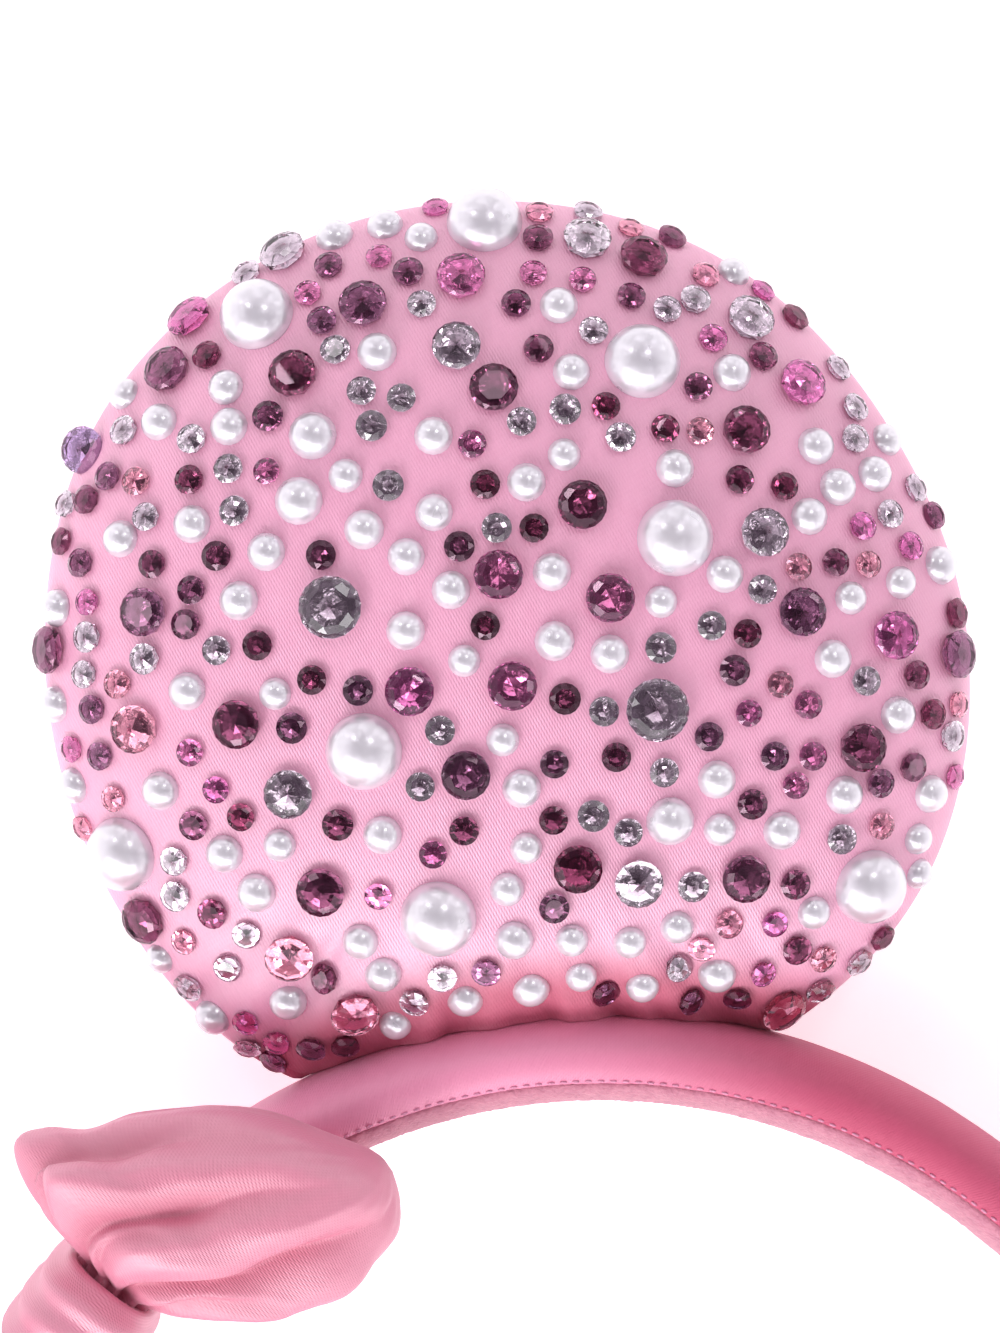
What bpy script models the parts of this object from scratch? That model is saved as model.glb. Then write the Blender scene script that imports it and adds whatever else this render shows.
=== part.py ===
"""A mouse ear headband lying on its back.

A padded satin band with a plush lining carries two padded round ears and a satin bow. The front of each ear
is covered with flat-backed crystals and half pearls. Lengths are in metres. X runs across the headband, Y
towards its top and Z out of its front. The right ear is the one at +X.
"""

import math

import bmesh
import bpy
from mathutils import Matrix, Vector

CLEARANCE = 0.0003

# Band: its centre line turns through a crown arc, a shoulder arc and a leg arc on each side
CROWN_RADIUS = 0.0750
SHOULDER_RADIUS = 0.0653
LEG_RADIUS = 0.2200
CROWN_END = math.radians(18)
SHOULDER_END = math.radians(90)
LEG_END = math.radians(103)
BAND_THICKNESS = 0.0090
BAND_WIDTH = 0.0200
TIP_THICKNESS = 0.0076
TIP_WIDTH = 0.0150
TIP_ROUNDING = 0.0034
BAND_SQUARENESS = 2.3
CROWN_STEPS = 2
SHOULDER_STEPS = 9
LEG_STEPS = 5
TIP_RINGS = (math.radians(30), math.radians(58), math.radians(82))

# Lining: a plush strip let into the band's inner side, flush with its surface
LINING_THICKNESS = 0.0012
LINING_HALF_SPAN = math.radians(65)
LINING_POINTS = 4
LINING_TRIM = math.radians(3)
RECESS_STEP = math.radians(4)
SEAT_HALF_LENGTH = 0.0032
COVER_ANGLES = tuple(math.radians(a) for a in (-90, -60, -30, 0, 30, 60, 90))

# Ears
EAR_HEADING = math.radians(46)
EAR_LEAN = math.radians(5.4)
EAR_STAND = 0.0379
EAR_RADIUS = 0.0483
EAR_FRONT = 0.0145
EAR_BACK = 0.0100
EAR_SEGMENTS = 36
PUCKER_COUNT = 6
PUCKER_DEPTH = 0.0009
PUCKER_HALF_SPAN = math.radians(36)
PUCKER_SEGMENTS = 4
PUCKER_START = 0.55
PUCKER_FULL = 0.75
FRONT_RINGS = (0.30, 0.55, 0.75, 0.89, 0.97)
BACK_RINGS = (0.95, 0.82, 0.60)
REST_RING = 0.30
RIM_SHARE = 0.985
CUTTER_HALF_SPAN = math.radians(40)
CUTTER_STEPS = 12
CUTTER_SIDES = 16

# Degrees clockwise from the ear's top, and the share of EAR_RADIUS that the outline reaches there
EAR_OUTLINE = (
    (0, 0.968),
    (30, 0.966),
    (60, 0.961),
    (90, 1.004),
    (120, 1.038),
    (150, 1.010),
    (180, 1.000),
    (210, 1.030),
    (240, 0.996),
    (270, 0.988),
    (300, 1.004),
    (330, 0.985),
)

# Decoration: the diameter of each kind, and its height as a share of that
PEARL_SIZES = {"large": 0.0078, "medium": 0.0050, "small": 0.0040}
CRYSTAL_SIZES = {"large": 0.0064, "medium": 0.0050}
PEARL_RISE = 0.46
CRYSTAL_RISE = 0.40
GIRDLE_SHARE = 0.30
TABLE_SHARE = 0.52
STONE_SINK = 0.0011
SLOPE_NUDGE = 0.0004
PEARL_LEVELS = (math.radians(38), math.radians(70))
CHART_DISTANCE = 0.400
LOOSE_PEARL_SIDES = 12
LOOSE_CRYSTAL_SIDES = 10
FUSED_PEARL_SIDES = 10
FUSED_CRYSTAL_SIDES = 8

# Bow and the knot that ties it to the band
BOW_HALF_LENGTH = 0.0330
BOW_RISE = 0.0175
BOW_FRONT_DEPTH = 0.0095
BOW_BACK_DEPTH = 0.0027
WAIST_HALF_HEIGHT = 0.0048
WAIST_FRONT_DEPTH = 0.0044
WAIST_BACK_DEPTH = 0.0028
BOW_SIDES = 20
BOW_PLEATS = 5
PLEAT_DEPTH = 0.12
WAIST_PLEATING = 0.6
KNOT_WIDTH = 0.0125
KNOT_WALL = 0.0015
KNOT_PUFF = 0.0030
KNOT_STEPS = 20
KNOT_SQUARENESS = 3.4
KNOT_ROUNDING = 0.55
CINCH_RUN = 0.0040
CINCH_THICKNESS = 0.0084

# A row for each section of a bow loop, from beside the knot to the tip. Its top edge and its bottom edge
# each lie at a share of BOW_HALF_LENGTH and of BOW_RISE, and its front and back depths are shares of theirs
BOW_SECTIONS = (
    (0.250, 0.70, 0.250, -0.52, 0.68, 0.80),
    (0.340, 0.96, 0.345, -0.78, 0.92, 1.00),
    (0.430, 0.89, 0.430, -0.95, 1.00, 1.00),
    (0.515, 0.66, 0.520, -1.06, 0.99, 1.00),
    (0.640, 0.49, 0.620, -1.14, 1.00, 1.00),
    (0.790, 0.23, 0.730, -1.17, 0.92, 1.00),
    (0.895, -0.08, 0.840, -1.12, 0.78, 0.95),
    (0.960, -0.45, 0.930, -1.00, 0.52, 0.80),
    (0.995, -0.66, 0.985, -0.86, 0.22, 0.40),
)

# Main stones, each a piece of its own. The place of each stone is charted as seen from straight in front:
# shares of EAR_RADIUS from the ear's centre, away from the bow and towards the ear's top
LOOSE_PEARLS = (
    ("large", -0.53, 0.72),
    ("large", -0.04, 0.92),
    ("large", 0.30, 0.62),
    ("large", 0.37, 0.24),
    ("large", -0.30, -0.22),
    ("large", -0.14, -0.58),
    ("large", -0.82, -0.44),
    ("large", 0.79, -0.51),
)
LOOSE_CRYSTALS = (
    ("large", -0.37, 0.09, "clear"),
    ("large", 0.33, -0.13, "clear"),
    ("medium", -0.45, 0.59, "amethyst"),
    ("medium", -0.02, 0.56, "amethyst"),
    ("medium", 0.52, 0.47, "amethyst"),
    ("medium", 0.17, 0.31, "amethyst"),
    ("medium", 0.56, 0.25, "clear"),
    ("medium", -0.01, 0.16, "fuchsia"),
    ("medium", 0.23, 0.11, "fuchsia"),
    ("medium", 0.64, 0.08, "amethyst"),
    ("medium", 0.02, -0.08, "fuchsia"),
    ("medium", -0.20, -0.09, "fuchsia"),
)

# Stones that are fused to the ear's cover, charted the same way
FUSED_PEARLS = (
    ("medium", -0.41, 0.46),
    ("medium", -0.44, 0.32),
    ("small", -0.51, 0.21),
    ("small", 0.12, 0.74),
    ("small", 0.71, -0.02),
    ("small", -0.68, -0.09),
    ("small", -0.60, -0.44),
    ("medium", 0.36, -0.37),
    ("small", 0.92, -0.31),
    ("small", 0.46, -0.70),
    ("small", -0.59, 0.48),
)
FUSED_CRYSTALS = (
    ("medium", -0.30, 0.74),
    ("medium", -0.09, 0.80),
    ("medium", -0.10, 0.65),
    ("medium", -0.72, 0.60),
    ("medium", -0.67, 0.71),
    ("medium", -0.47, 0.85),
    ("medium", -0.77, 0.08),
    ("medium", -0.90, 0.43),
    ("medium", -0.97, 0.00),
    ("medium", 0.18, 0.88),
    ("medium", 0.30, 0.84),
    ("medium", 0.53, 0.71),
    ("medium", 0.64, 0.57),
    ("medium", 0.97, -0.01),
    ("medium", -0.57, -0.16),
    ("medium", -0.46, -0.31),
    ("medium", -0.08, -0.27),
    ("medium", -0.39, -0.52),
    ("medium", -0.77, -0.58),
    ("medium", -0.46, -0.66),
    ("medium", -0.32, -0.78),
    ("medium", 0.16, -0.47),
    ("medium", 0.52, -0.49),
    ("medium", 0.77, -0.21),
    ("medium", 0.60, -0.77),
)

SIDES = {"right": 1, "left": -1}
CREASE_ANGLE = math.radians(40)
MID_HEIGHT = BAND_WIDTH / 2


# Scene helpers


def clear_scene():
    for obj in list(bpy.data.objects):
        bpy.data.objects.remove(obj)


def finish(name, colour, roughness, metallic=0.0):
    """A Principled material of one colour."""
    material = bpy.data.materials.new(name)
    material.use_nodes = True
    shader = material.node_tree.nodes["Principled BSDF"]
    shader.inputs["Base Color"].default_value = (*colour, 1.0)
    shader.inputs["Roughness"].default_value = roughness
    shader.inputs["Metallic"].default_value = metallic
    return material


def add_mesh(name, mesh, material, smooth=True):
    obj = bpy.data.objects.new(name, mesh)
    bpy.context.scene.collection.objects.link(obj)
    mesh.materials.append(material)
    if smooth:
        mesh.shade_smooth()
        mesh.set_sharp_from_angle(angle=CREASE_ANGLE)
    return obj


def mesh_from(bm, name):
    bmesh.ops.recalc_face_normals(bm, faces=bm.faces)
    mesh = bpy.data.meshes.new(name)
    bm.to_mesh(mesh)
    bm.free()
    return mesh


def lofted(name, rings):
    """A closed mesh through rings of equally many points, with a flat cap on each end."""
    bm = bmesh.new()
    rows = [[bm.verts.new(point) for point in ring] for ring in rings]
    count = len(rows[0])
    for near, far in zip(rows, rows[1:]):
        for i in range(count):
            k = (i + 1) % count
            bm.faces.new((near[i], near[k], far[k], far[i]))
    bm.faces.new(rows[0])
    bm.faces.new(rows[-1])
    return mesh_from(bm, name)


def helper(obj):
    """Marks an object that only shapes others."""
    obj.hide_render = True
    obj.display_type = "WIRE"
    return obj


def boolean(obj, operation, other):
    modifier = obj.modifiers.new(other.name, "BOOLEAN")
    modifier.operation = operation
    modifier.object = other
    modifier.solver = "EXACT"


# Band


def band_point(heading):
    """The centre line's point where the band has turned this far from level."""
    turned = abs(heading)
    across = rise = 0.0
    arcs = (
        (CROWN_RADIUS, 0.0, CROWN_END),
        (SHOULDER_RADIUS, CROWN_END, SHOULDER_END),
        (LEG_RADIUS, SHOULDER_END, LEG_END),
    )
    for radius, start, end in arcs:
        stop = min(turned, end)
        if stop > start:
            across += radius * (math.sin(stop) - math.sin(start))
            rise += radius * (math.cos(stop) - math.cos(start))
    return Vector((math.copysign(across, heading), rise, MID_HEIGHT))


def outwards(heading):
    return Vector((math.sin(heading), math.cos(heading), 0.0))


def steps(start, end, count):
    return [start + (end - start) * i / count for i in range(1, count + 1)]


def half_headings():
    """Headings of the band's sections on its right half, from beside the seat to the leg's end."""
    seat = SEAT_HALF_LENGTH / CROWN_RADIUS
    cinch = KNOT_WIDTH / 2 / CROWN_RADIUS
    run = cinch + CINCH_RUN / CROWN_RADIUS
    return [
        seat,
        cinch,
        *steps(run, CROWN_END, CROWN_STEPS),
        *steps(CROWN_END, SHOULDER_END, SHOULDER_STEPS),
        *steps(SHOULDER_END, LEG_END, LEG_STEPS),
    ]


def band_halves(heading):
    """Half the band's thickness and width at a heading: less under the knot and down the legs."""
    turned = abs(heading)
    if turned * CROWN_RADIUS <= KNOT_WIDTH / 2 + 1e-6:
        return CINCH_THICKNESS / 2, BAND_WIDTH / 2 - KNOT_WALL - CLEARANCE
    share = max(0.0, (turned - SHOULDER_END) / (LEG_END - SHOULDER_END))
    thickness = BAND_THICKNESS + (TIP_THICKNESS - BAND_THICKNESS) * share
    width = BAND_WIDTH + (TIP_WIDTH - BAND_WIDTH) * share
    return thickness / 2, width / 2


def rounded(half, value, squareness):
    return half * math.copysign(abs(value) ** (2 / squareness), value)


def section_point(halves, angle, inset=0.0):
    """A point (outwards, front) of the band's section, at an angle from straight outwards."""
    thick, wide = halves[0] - inset, halves[1] - inset
    return (
        rounded(thick, math.cos(angle), BAND_SQUARENESS),
        rounded(wide, math.sin(angle), BAND_SQUARENESS),
    )


def lining_angles(trim):
    first = math.pi - LINING_HALF_SPAN + trim
    last = math.pi + LINING_HALF_SPAN - trim
    return [first, *steps(first, last, LINING_POINTS - 1)]


def cover_section(halves, recess):
    """The satin cover's section: its outer side, then the floor of the recess that the lining lies in."""
    edge = math.pi - LINING_HALF_SPAN - RECESS_STEP / 2
    outer = [-edge, *COVER_ANGLES, edge]
    points = [section_point(halves, angle) for angle in outer]
    return points + [section_point(halves, angle, recess) for angle in lining_angles(0.0)]


def lining_section(halves):
    faces = [section_point(halves, angle) for angle in lining_angles(LINING_TRIM)]
    backs = [section_point(halves, angle, LINING_THICKNESS) for angle in lining_angles(LINING_TRIM)]
    return faces + backs[::-1]


def placed(points, centre, normal):
    return [centre + normal * out + Vector((0.0, 0.0, front)) for out, front in points]


def band_ring(heading, section):
    return placed(section, band_point(heading), outwards(heading))


def tip_rings(side):
    """Rings that round off a leg's end beyond its last section."""
    heading = side * LEG_END
    along = Vector((math.cos(heading), -math.sin(heading), 0.0)) * side
    thick, wide = band_halves(heading)
    rings = []
    for angle in TIP_RINGS:
        shrink = TIP_ROUNDING * (1 - math.cos(angle))
        section = cover_section((thick - shrink, wide - shrink), 0.0)
        centre = band_point(heading) + along * TIP_ROUNDING * math.sin(angle)
        rings.append(placed(section, centre, outwards(heading)))
    return rings


def all_headings():
    right = half_headings()
    return [-h for h in reversed(right)] + right


def make_band(satin, plush):
    recess = LINING_THICKNESS + CLEARANCE
    cover = [band_ring(h, cover_section(band_halves(h), recess)) for h in all_headings()]
    rings = tip_rings(-1)[::-1] + cover + tip_rings(1)
    add_mesh("band_cover", lofted("band_cover", rings), satin)
    strip = [band_ring(h, lining_section(band_halves(h))) for h in all_headings()]
    for ring, side in ((strip[0], -1), (strip[-1], 1)):
        heading = side * LEG_END
        back = Vector((math.cos(heading), -math.sin(heading), 0.0)) * side * CLEARANCE
        ring[:] = [point - back for point in ring]
    add_mesh("band_lining", lofted("band_lining", strip), plush)


# Ears


def outline_share(angle):
    """The outline's reach at an angle clockwise from the ear's top, smooth through EAR_OUTLINE's rows."""
    spacing = 360 / len(EAR_OUTLINE)
    place = math.degrees(angle) % 360 / spacing
    i = int(place)
    a, b, c, d = (EAR_OUTLINE[(i + k) % len(EAR_OUTLINE)][1] for k in (-1, 0, 1, 2))
    t = place - i
    slope_b, slope_c = (c - a) / 2, (d - b) / 2
    return (
        b * (2 * t**3 - 3 * t**2 + 1)
        + c * (3 * t**2 - 2 * t**3)
        + slope_b * (t**3 - 2 * t**2 + t)
        + slope_c * (t**3 - t**2)
    )


def pucker(angle, share):
    """How far the gathers at the sewn base draw the front face in."""
    off = angle % math.tau - math.pi
    if abs(off) > PUCKER_HALF_SPAN:
        return 0.0
    ramp = min(max((share - PUCKER_START) / (PUCKER_FULL - PUCKER_START), 0.0), 1.0)
    wave = (1 - math.cos(PUCKER_COUNT * math.tau * (off / PUCKER_HALF_SPAN + 1) / 2)) / 2
    return PUCKER_DEPTH * ramp * wave


def front_height(angle, share):
    return EAR_FRONT * math.sqrt(1 - share**2) - pucker(angle, share)


def dome(across, up):
    """Height of the ear's front face over its middle plane."""
    angle = math.atan2(across, up)
    share = math.hypot(across, up) / (EAR_RADIUS * outline_share(angle))
    return front_height(angle, min(share, RIM_SHARE))


def ear_angles():
    """Angles round the ear, clockwise from its top, closer together along the puckers."""
    spacing = math.tau / EAR_SEGMENTS
    even = [spacing * i for i in range(EAR_SEGMENTS)]
    plain = [angle for angle in even if abs(angle - math.pi) > PUCKER_HALF_SPAN]
    count = PUCKER_COUNT * PUCKER_SEGMENTS
    base = [math.pi + PUCKER_HALF_SPAN * (2 * i / count - 1) for i in range(count + 1)]
    return sorted(plain + base)


def ear_frame(side):
    """Places the ear's own axes: across, towards its top, and front."""
    heading = side * EAR_HEADING
    centre = band_point(heading) + outwards(heading) * (BAND_THICKNESS / 2 + EAR_STAND)
    top = outwards(side * (EAR_HEADING + EAR_LEAN))
    across = top.cross(Vector((0.0, 0.0, 1.0)))
    return Matrix((across, top, (0.0, 0.0, 1.0))).transposed().to_4x4(), centre


def ear_ring(side, share, depth):
    """A ring of the ear's surface. Depth gives its height at each angle."""
    frame, centre = ear_frame(side)
    points = []
    for angle in ear_angles():
        reach = share * EAR_RADIUS * outline_share(angle)
        place = Vector((side * math.sin(angle) * reach, math.cos(angle) * reach, depth(angle)))
        points.append(centre + frame @ place)
    return points


def ear_rings(side):
    """Rings of the padded form, from beside its peak, over the rim, to the flat patch where it rests."""
    rings = []
    for share in FRONT_RINGS:
        rings.append(ear_ring(side, share, lambda angle, s=share: front_height(angle, s)))
    rings.append(ear_ring(side, 1.0, lambda angle: 0.0))
    for share in BACK_RINGS:
        rings.append(ear_ring(side, share, lambda angle, s=share: -EAR_BACK * math.sqrt(1 - s**2)))
    rings.append(ear_ring(side, REST_RING, lambda angle: -EAR_BACK))
    return rings


def ear_mesh(side):
    """The padded form, with a flat patch on its back where it rests."""
    bm = bmesh.new()
    rings = [[bm.verts.new(point) for point in ring] for ring in ear_rings(side)]
    count = len(rings[0])
    for near, far in zip(rings, rings[1:]):
        for i in range(count):
            k = (i + 1) % count
            bm.faces.new((near[i], near[k], far[k], far[i]))
    frame, centre = ear_frame(side)
    peak = bm.verts.new(centre + frame @ Vector((0.0, 0.0, EAR_FRONT)))
    for i in range(count):
        bm.faces.new((rings[0][i], rings[0][(i + 1) % count], peak))
    bm.faces.new(rings[-1])
    return mesh_from(bm, "ear")


def cutter_headings(side):
    """Headings along the part of the band beneath an ear."""
    first, last = EAR_HEADING - CUTTER_HALF_SPAN, EAR_HEADING + CUTTER_HALF_SPAN
    return steps(side * first, side * last, CUTTER_STEPS)


def base_cutter(side):
    """The room that the band and its lining take at an ear's base."""
    rings = []
    for heading in cutter_headings(side):
        thick, wide = band_halves(heading)
        halves = (thick + CLEARANCE, wide + CLEARANCE)
        section = [section_point(halves, math.tau * i / CUTTER_SIDES) for i in range(CUTTER_SIDES)]
        rings.append(band_ring(heading, section))
    name = "base_cutter_" + ("right" if side > 0 else "left")
    mesh = lofted(name, rings)
    obj = bpy.data.objects.new(name, mesh)
    bpy.context.scene.collection.objects.link(obj)
    return helper(obj)


def arch_cutter(side):
    """Everything on the head's side of the band's centre line, beneath an ear."""
    depth = BAND_THICKNESS * 3
    headings = cutter_headings(side)
    outer = [band_point(h) for h in headings]
    inner = [band_point(h) - outwards(h) * depth for h in reversed(headings)]
    reach = Vector((0.0, 0.0, EAR_FRONT + EAR_BACK))
    rings = [[point + reach * way for point in outer + inner] for way in (-1, 1)]
    name = "arch_cutter_" + ("right" if side > 0 else "left")
    obj = bpy.data.objects.new(name, lofted(name, rings))
    bpy.context.scene.collection.objects.link(obj)
    return helper(obj)


# Decoration


def stone_matrix(side, across, up, lift):
    """Seats a stone on the ear's front face, its own Z axis along the face's normal."""
    across, up = across * EAR_RADIUS, up * EAR_RADIUS
    nearer = 1 - dome(across, up) / CHART_DISTANCE
    across, up = across * nearer, up * nearer
    height = dome(across, up)
    fall_across = dome(across - SLOPE_NUDGE, up) - dome(across + SLOPE_NUDGE, up)
    fall_up = dome(across, up - SLOPE_NUDGE) - dome(across, up + SLOPE_NUDGE)
    slope = Vector((fall_across, fall_up, 2 * SLOPE_NUDGE)).normalized()
    place = Vector((side * across, up, height))
    slope.x *= side
    frame, centre = ear_frame(side)
    normal = (frame @ slope).normalized()
    turn = normal.to_track_quat("Z", "Y").to_matrix().to_4x4()
    return Matrix.Translation(centre + frame @ place + normal * lift) @ turn


def polygon(radius, height, sides):
    angles = [math.tau * i / sides for i in range(sides)]
    return [Vector((radius * math.cos(a), radius * math.sin(a), height)) for a in angles]


def crystal_rings(size, sides, foot):
    """A flat-backed cut stone: girdle, crown facets and table."""
    radius, rise = CRYSTAL_SIZES[size] / 2, CRYSTAL_SIZES[size] * CRYSTAL_RISE
    levels = [(radius, foot), (radius, rise * GIRDLE_SHARE), (radius * TABLE_SHARE, rise)]
    return [polygon(r, z, sides) for r, z in levels]


def pearl_rings(size, sides, foot):
    """A flat-backed half pearl."""
    radius, rise = PEARL_SIZES[size] / 2, PEARL_SIZES[size] * PEARL_RISE
    levels = [(radius, foot)]
    for angle in PEARL_LEVELS:
        levels.append((radius * math.cos(angle), rise * math.sin(angle)))
    return [polygon(r, z, sides) for r, z in levels]


def add_loose_stones(side, word, pearl, crystals):
    pearls = [(*row, pearl) for row in LOOSE_PEARLS]
    cut_stones = [(*row[:3], crystals[row[3]]) for row in LOOSE_CRYSTALS]
    sorts = (
        ("pearl", pearls, pearl_rings, LOOSE_PEARL_SIDES),
        ("crystal", cut_stones, crystal_rings, LOOSE_CRYSTAL_SIDES),
    )
    for sort, chart, rings, sides in sorts:
        for number, (size, across, up, material) in enumerate(chart, 1):
            name = f"{sort}_{word}_{number:02d}"
            mesh = lofted(name, rings(size, sides, 0.0))
            obj = add_mesh(name, mesh, material, smooth=sort == "pearl")
            obj.matrix_world = stone_matrix(side, across, up, CLEARANCE)


def fused_stones(side, word):
    """All the smaller charted stones of one ear, sunk a little into its face."""
    bm = bmesh.new()
    sorts = (
        (FUSED_PEARLS, pearl_rings, FUSED_PEARL_SIDES),
        (FUSED_CRYSTALS, crystal_rings, FUSED_CRYSTAL_SIDES),
    )
    for chart, rings, sides in sorts:
        for size, across, up in chart:
            mesh = lofted("stone", rings(size, sides, -STONE_SINK))
            mesh.transform(stone_matrix(side, across, up, 0.0))
            bm.from_mesh(mesh)
            bpy.data.meshes.remove(mesh)
    name = "fused_stones_" + word
    obj = bpy.data.objects.new(name, mesh_from(bm, name))
    bpy.context.scene.collection.objects.link(obj)
    return helper(obj)


def make_ear(side, word, satin):
    ear = add_mesh("ear_" + word, ear_mesh(side), satin)
    boolean(ear, "DIFFERENCE", arch_cutter(side))
    boolean(ear, "DIFFERENCE", base_cutter(side))
    boolean(ear, "UNION", fused_stones(side, word))


# Bow


def bow_ring(side, top, bottom, front, back, level, pleated):
    """A section of the bow between its top and bottom edges: an oval with soft pleats round it."""
    middle = (Vector(top) + Vector(bottom)) / 2
    half = (Vector(top) - Vector(bottom)) / 2
    points = []
    for i in range(BOW_SIDES):
        angle = math.tau * i / BOW_SIDES
        pleat = 1 + PLEAT_DEPTH * pleated * (math.cos(BOW_PLEATS * angle) - 1) / 2
        depth = front if math.sin(angle) > 0 else back
        place = middle + half * pleat * math.cos(angle)
        points.append(Vector((side * place.x, place.y, level + depth * pleat * math.sin(angle))))
    return points


def loop_rings(side):
    """Sections of one loop, from the waist to the tip."""
    waist_level = MID_HEIGHT + BAND_WIDTH / 2 - KNOT_WALL + WAIST_BACK_DEPTH
    loop_level = MID_HEIGHT + BAND_WIDTH / 2 + CLEARANCE * 2 + BOW_BACK_DEPTH
    beside = KNOT_WIDTH / 2
    waist = ((beside, WAIST_HALF_HEIGHT), (beside, -WAIST_HALF_HEIGHT), WAIST_FRONT_DEPTH, WAIST_BACK_DEPTH)
    rings = [bow_ring(side, *waist, waist_level, WAIST_PLEATING)]
    for top_along, top_rise, bottom_along, bottom_rise, front, back in BOW_SECTIONS:
        top = (BOW_HALF_LENGTH * top_along, BOW_RISE * top_rise)
        bottom = (BOW_HALF_LENGTH * bottom_along, BOW_RISE * bottom_rise)
        depths = (BOW_FRONT_DEPTH * front, BOW_BACK_DEPTH * back)
        rings.append(bow_ring(side, top, bottom, *depths, loop_level, 1.0))
    return rings


def make_bow(satin):
    rings = loop_rings(-1)[::-1] + loop_rings(1)
    add_mesh("bow_loops", lofted("bow_loops", rings), satin)


def make_knot(satin):
    """A wrap of satin round the bow's waist and the band, puffed out in front."""
    waist_front = BAND_WIDTH - KNOT_WALL + WAIST_BACK_DEPTH + WAIST_FRONT_DEPTH
    inner_half = max(CINCH_THICKNESS / 2, WAIST_HALF_HEIGHT) + CLEARANCE * 2
    inner = (KNOT_WALL, waist_front + CLEARANCE * 2, inner_half)
    outer = (0.0, inner[1] + KNOT_PUFF, inner_half + KNOT_WALL)
    half = KNOT_WIDTH / 2 - CLEARANCE
    top = KNOT_ROUNDING * half
    rows = (
        (-half, 0.0),
        (half, 0.0),
        (half, KNOT_ROUNDING),
        (top, 1.0),
        (-top, 1.0),
        (-half, KNOT_ROUNDING),
    )

    def wrap_point(angle, x, out):
        back, front, reach = (a + (b - a) * out for a, b in zip(inner, outer))
        y = rounded(reach, math.cos(angle), KNOT_SQUARENESS)
        z = rounded((front - back) / 2, math.sin(angle), KNOT_SQUARENESS)
        return Vector((x, y, (front + back) / 2 + z))

    bm = bmesh.new()
    angles = [math.tau * (i + 0.5) / KNOT_STEPS for i in range(KNOT_STEPS)]
    rings = [[bm.verts.new(wrap_point(a, *row)) for row in rows] for a in angles]
    for i in range(KNOT_STEPS):
        near, far = rings[i], rings[(i + 1) % KNOT_STEPS]
        for j in range(len(rows)):
            k = (j + 1) % len(rows)
            bm.faces.new((near[j], near[k], far[k], far[j]))
    add_mesh("bow_knot", mesh_from(bm, "bow_knot"), satin)


# Assembly


def stand_on_origin():
    """Moves everything so that the origin is the middle of the underside."""
    bpy.context.view_layer.update()
    graph = bpy.context.evaluated_depsgraph_get()
    shown = [obj for obj in bpy.data.objects if obj.type == "MESH" and not obj.hide_render]
    corners = []
    for obj in shown:
        seen = obj.evaluated_get(graph)
        corners += [seen.matrix_world @ Vector(corner) for corner in seen.bound_box]
    low = [min(corner[i] for corner in corners) for i in range(3)]
    high = [max(corner[i] for corner in corners) for i in range(3)]
    root = bpy.data.objects.new("headband", None)
    bpy.context.scene.collection.objects.link(root)
    for obj in bpy.data.objects:
        if obj is not root:
            obj.parent = root
    root.location = (-(low[0] + high[0]) / 2, -(low[1] + high[1]) / 2, -low[2])


def main():
    clear_scene()
    satin = finish("pink_satin", (0.78, 0.33, 0.50), 0.38)
    bow_satin = finish("bow_satin", (0.72, 0.30, 0.42), 0.42)
    plush = finish("rose_plush", (0.62, 0.27, 0.35), 0.95)
    pearl = finish("pearl", (0.93, 0.90, 0.92), 0.22)
    crystals = {
        "clear": finish("crystal_clear", (0.72, 0.70, 0.74), 0.06, 0.4),
        "amethyst": finish("crystal_amethyst", (0.13, 0.04, 0.10), 0.06, 0.2),
        "fuchsia": finish("crystal_fuchsia", (0.52, 0.08, 0.28), 0.06, 0.2),
    }
    make_band(satin, plush)
    for word, side in SIDES.items():
        make_ear(side, word, satin)
        add_loose_stones(side, word, pearl, crystals)
    make_bow(bow_satin)
    make_knot(bow_satin)
    stand_on_origin()


main()
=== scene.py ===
"""Looks of a mouse ear headband: padded satin ears set with half pearls and cut crystals, a padded band
with a plush lining, and a satin bow. Lengths are in metres and angles in radians, in the solids' frame."""

import math
import random

import bmesh
import bpy
from bpy.props import FloatProperty, FloatVectorProperty, IntProperty, PointerProperty
from mathutils import Matrix, Vector, noise


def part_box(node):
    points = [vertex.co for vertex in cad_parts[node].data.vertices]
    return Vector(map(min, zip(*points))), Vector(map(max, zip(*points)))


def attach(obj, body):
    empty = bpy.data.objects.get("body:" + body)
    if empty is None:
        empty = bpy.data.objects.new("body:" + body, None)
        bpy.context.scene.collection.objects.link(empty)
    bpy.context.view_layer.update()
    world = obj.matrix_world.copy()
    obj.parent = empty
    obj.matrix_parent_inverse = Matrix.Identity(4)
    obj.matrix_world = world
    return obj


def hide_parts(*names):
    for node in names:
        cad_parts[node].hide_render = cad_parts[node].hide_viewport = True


bl_info = {
    "name": "Mouse ear headband",
    "version": (1, 0, 0),
    "blender": (4, 5, 0),
    "location": "View3D > Sidebar > Headband",
    "description": "Dresses the headband's solids in satin, plush, half pearls and cut crystals",
    "category": "Object",
}

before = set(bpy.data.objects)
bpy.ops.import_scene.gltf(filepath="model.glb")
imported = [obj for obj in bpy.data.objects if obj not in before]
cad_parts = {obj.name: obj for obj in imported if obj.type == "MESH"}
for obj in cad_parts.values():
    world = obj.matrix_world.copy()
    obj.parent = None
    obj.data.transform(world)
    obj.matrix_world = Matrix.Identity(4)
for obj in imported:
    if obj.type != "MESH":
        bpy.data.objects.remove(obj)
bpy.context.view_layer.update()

CLEARANCE = 0.0003
SEWN_CLEARANCE = 0.00006
X_AXIS = Vector((1.0, 0.0, 0.0))
Z_AXIS = Vector((0.0, 0.0, 1.0))

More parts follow.
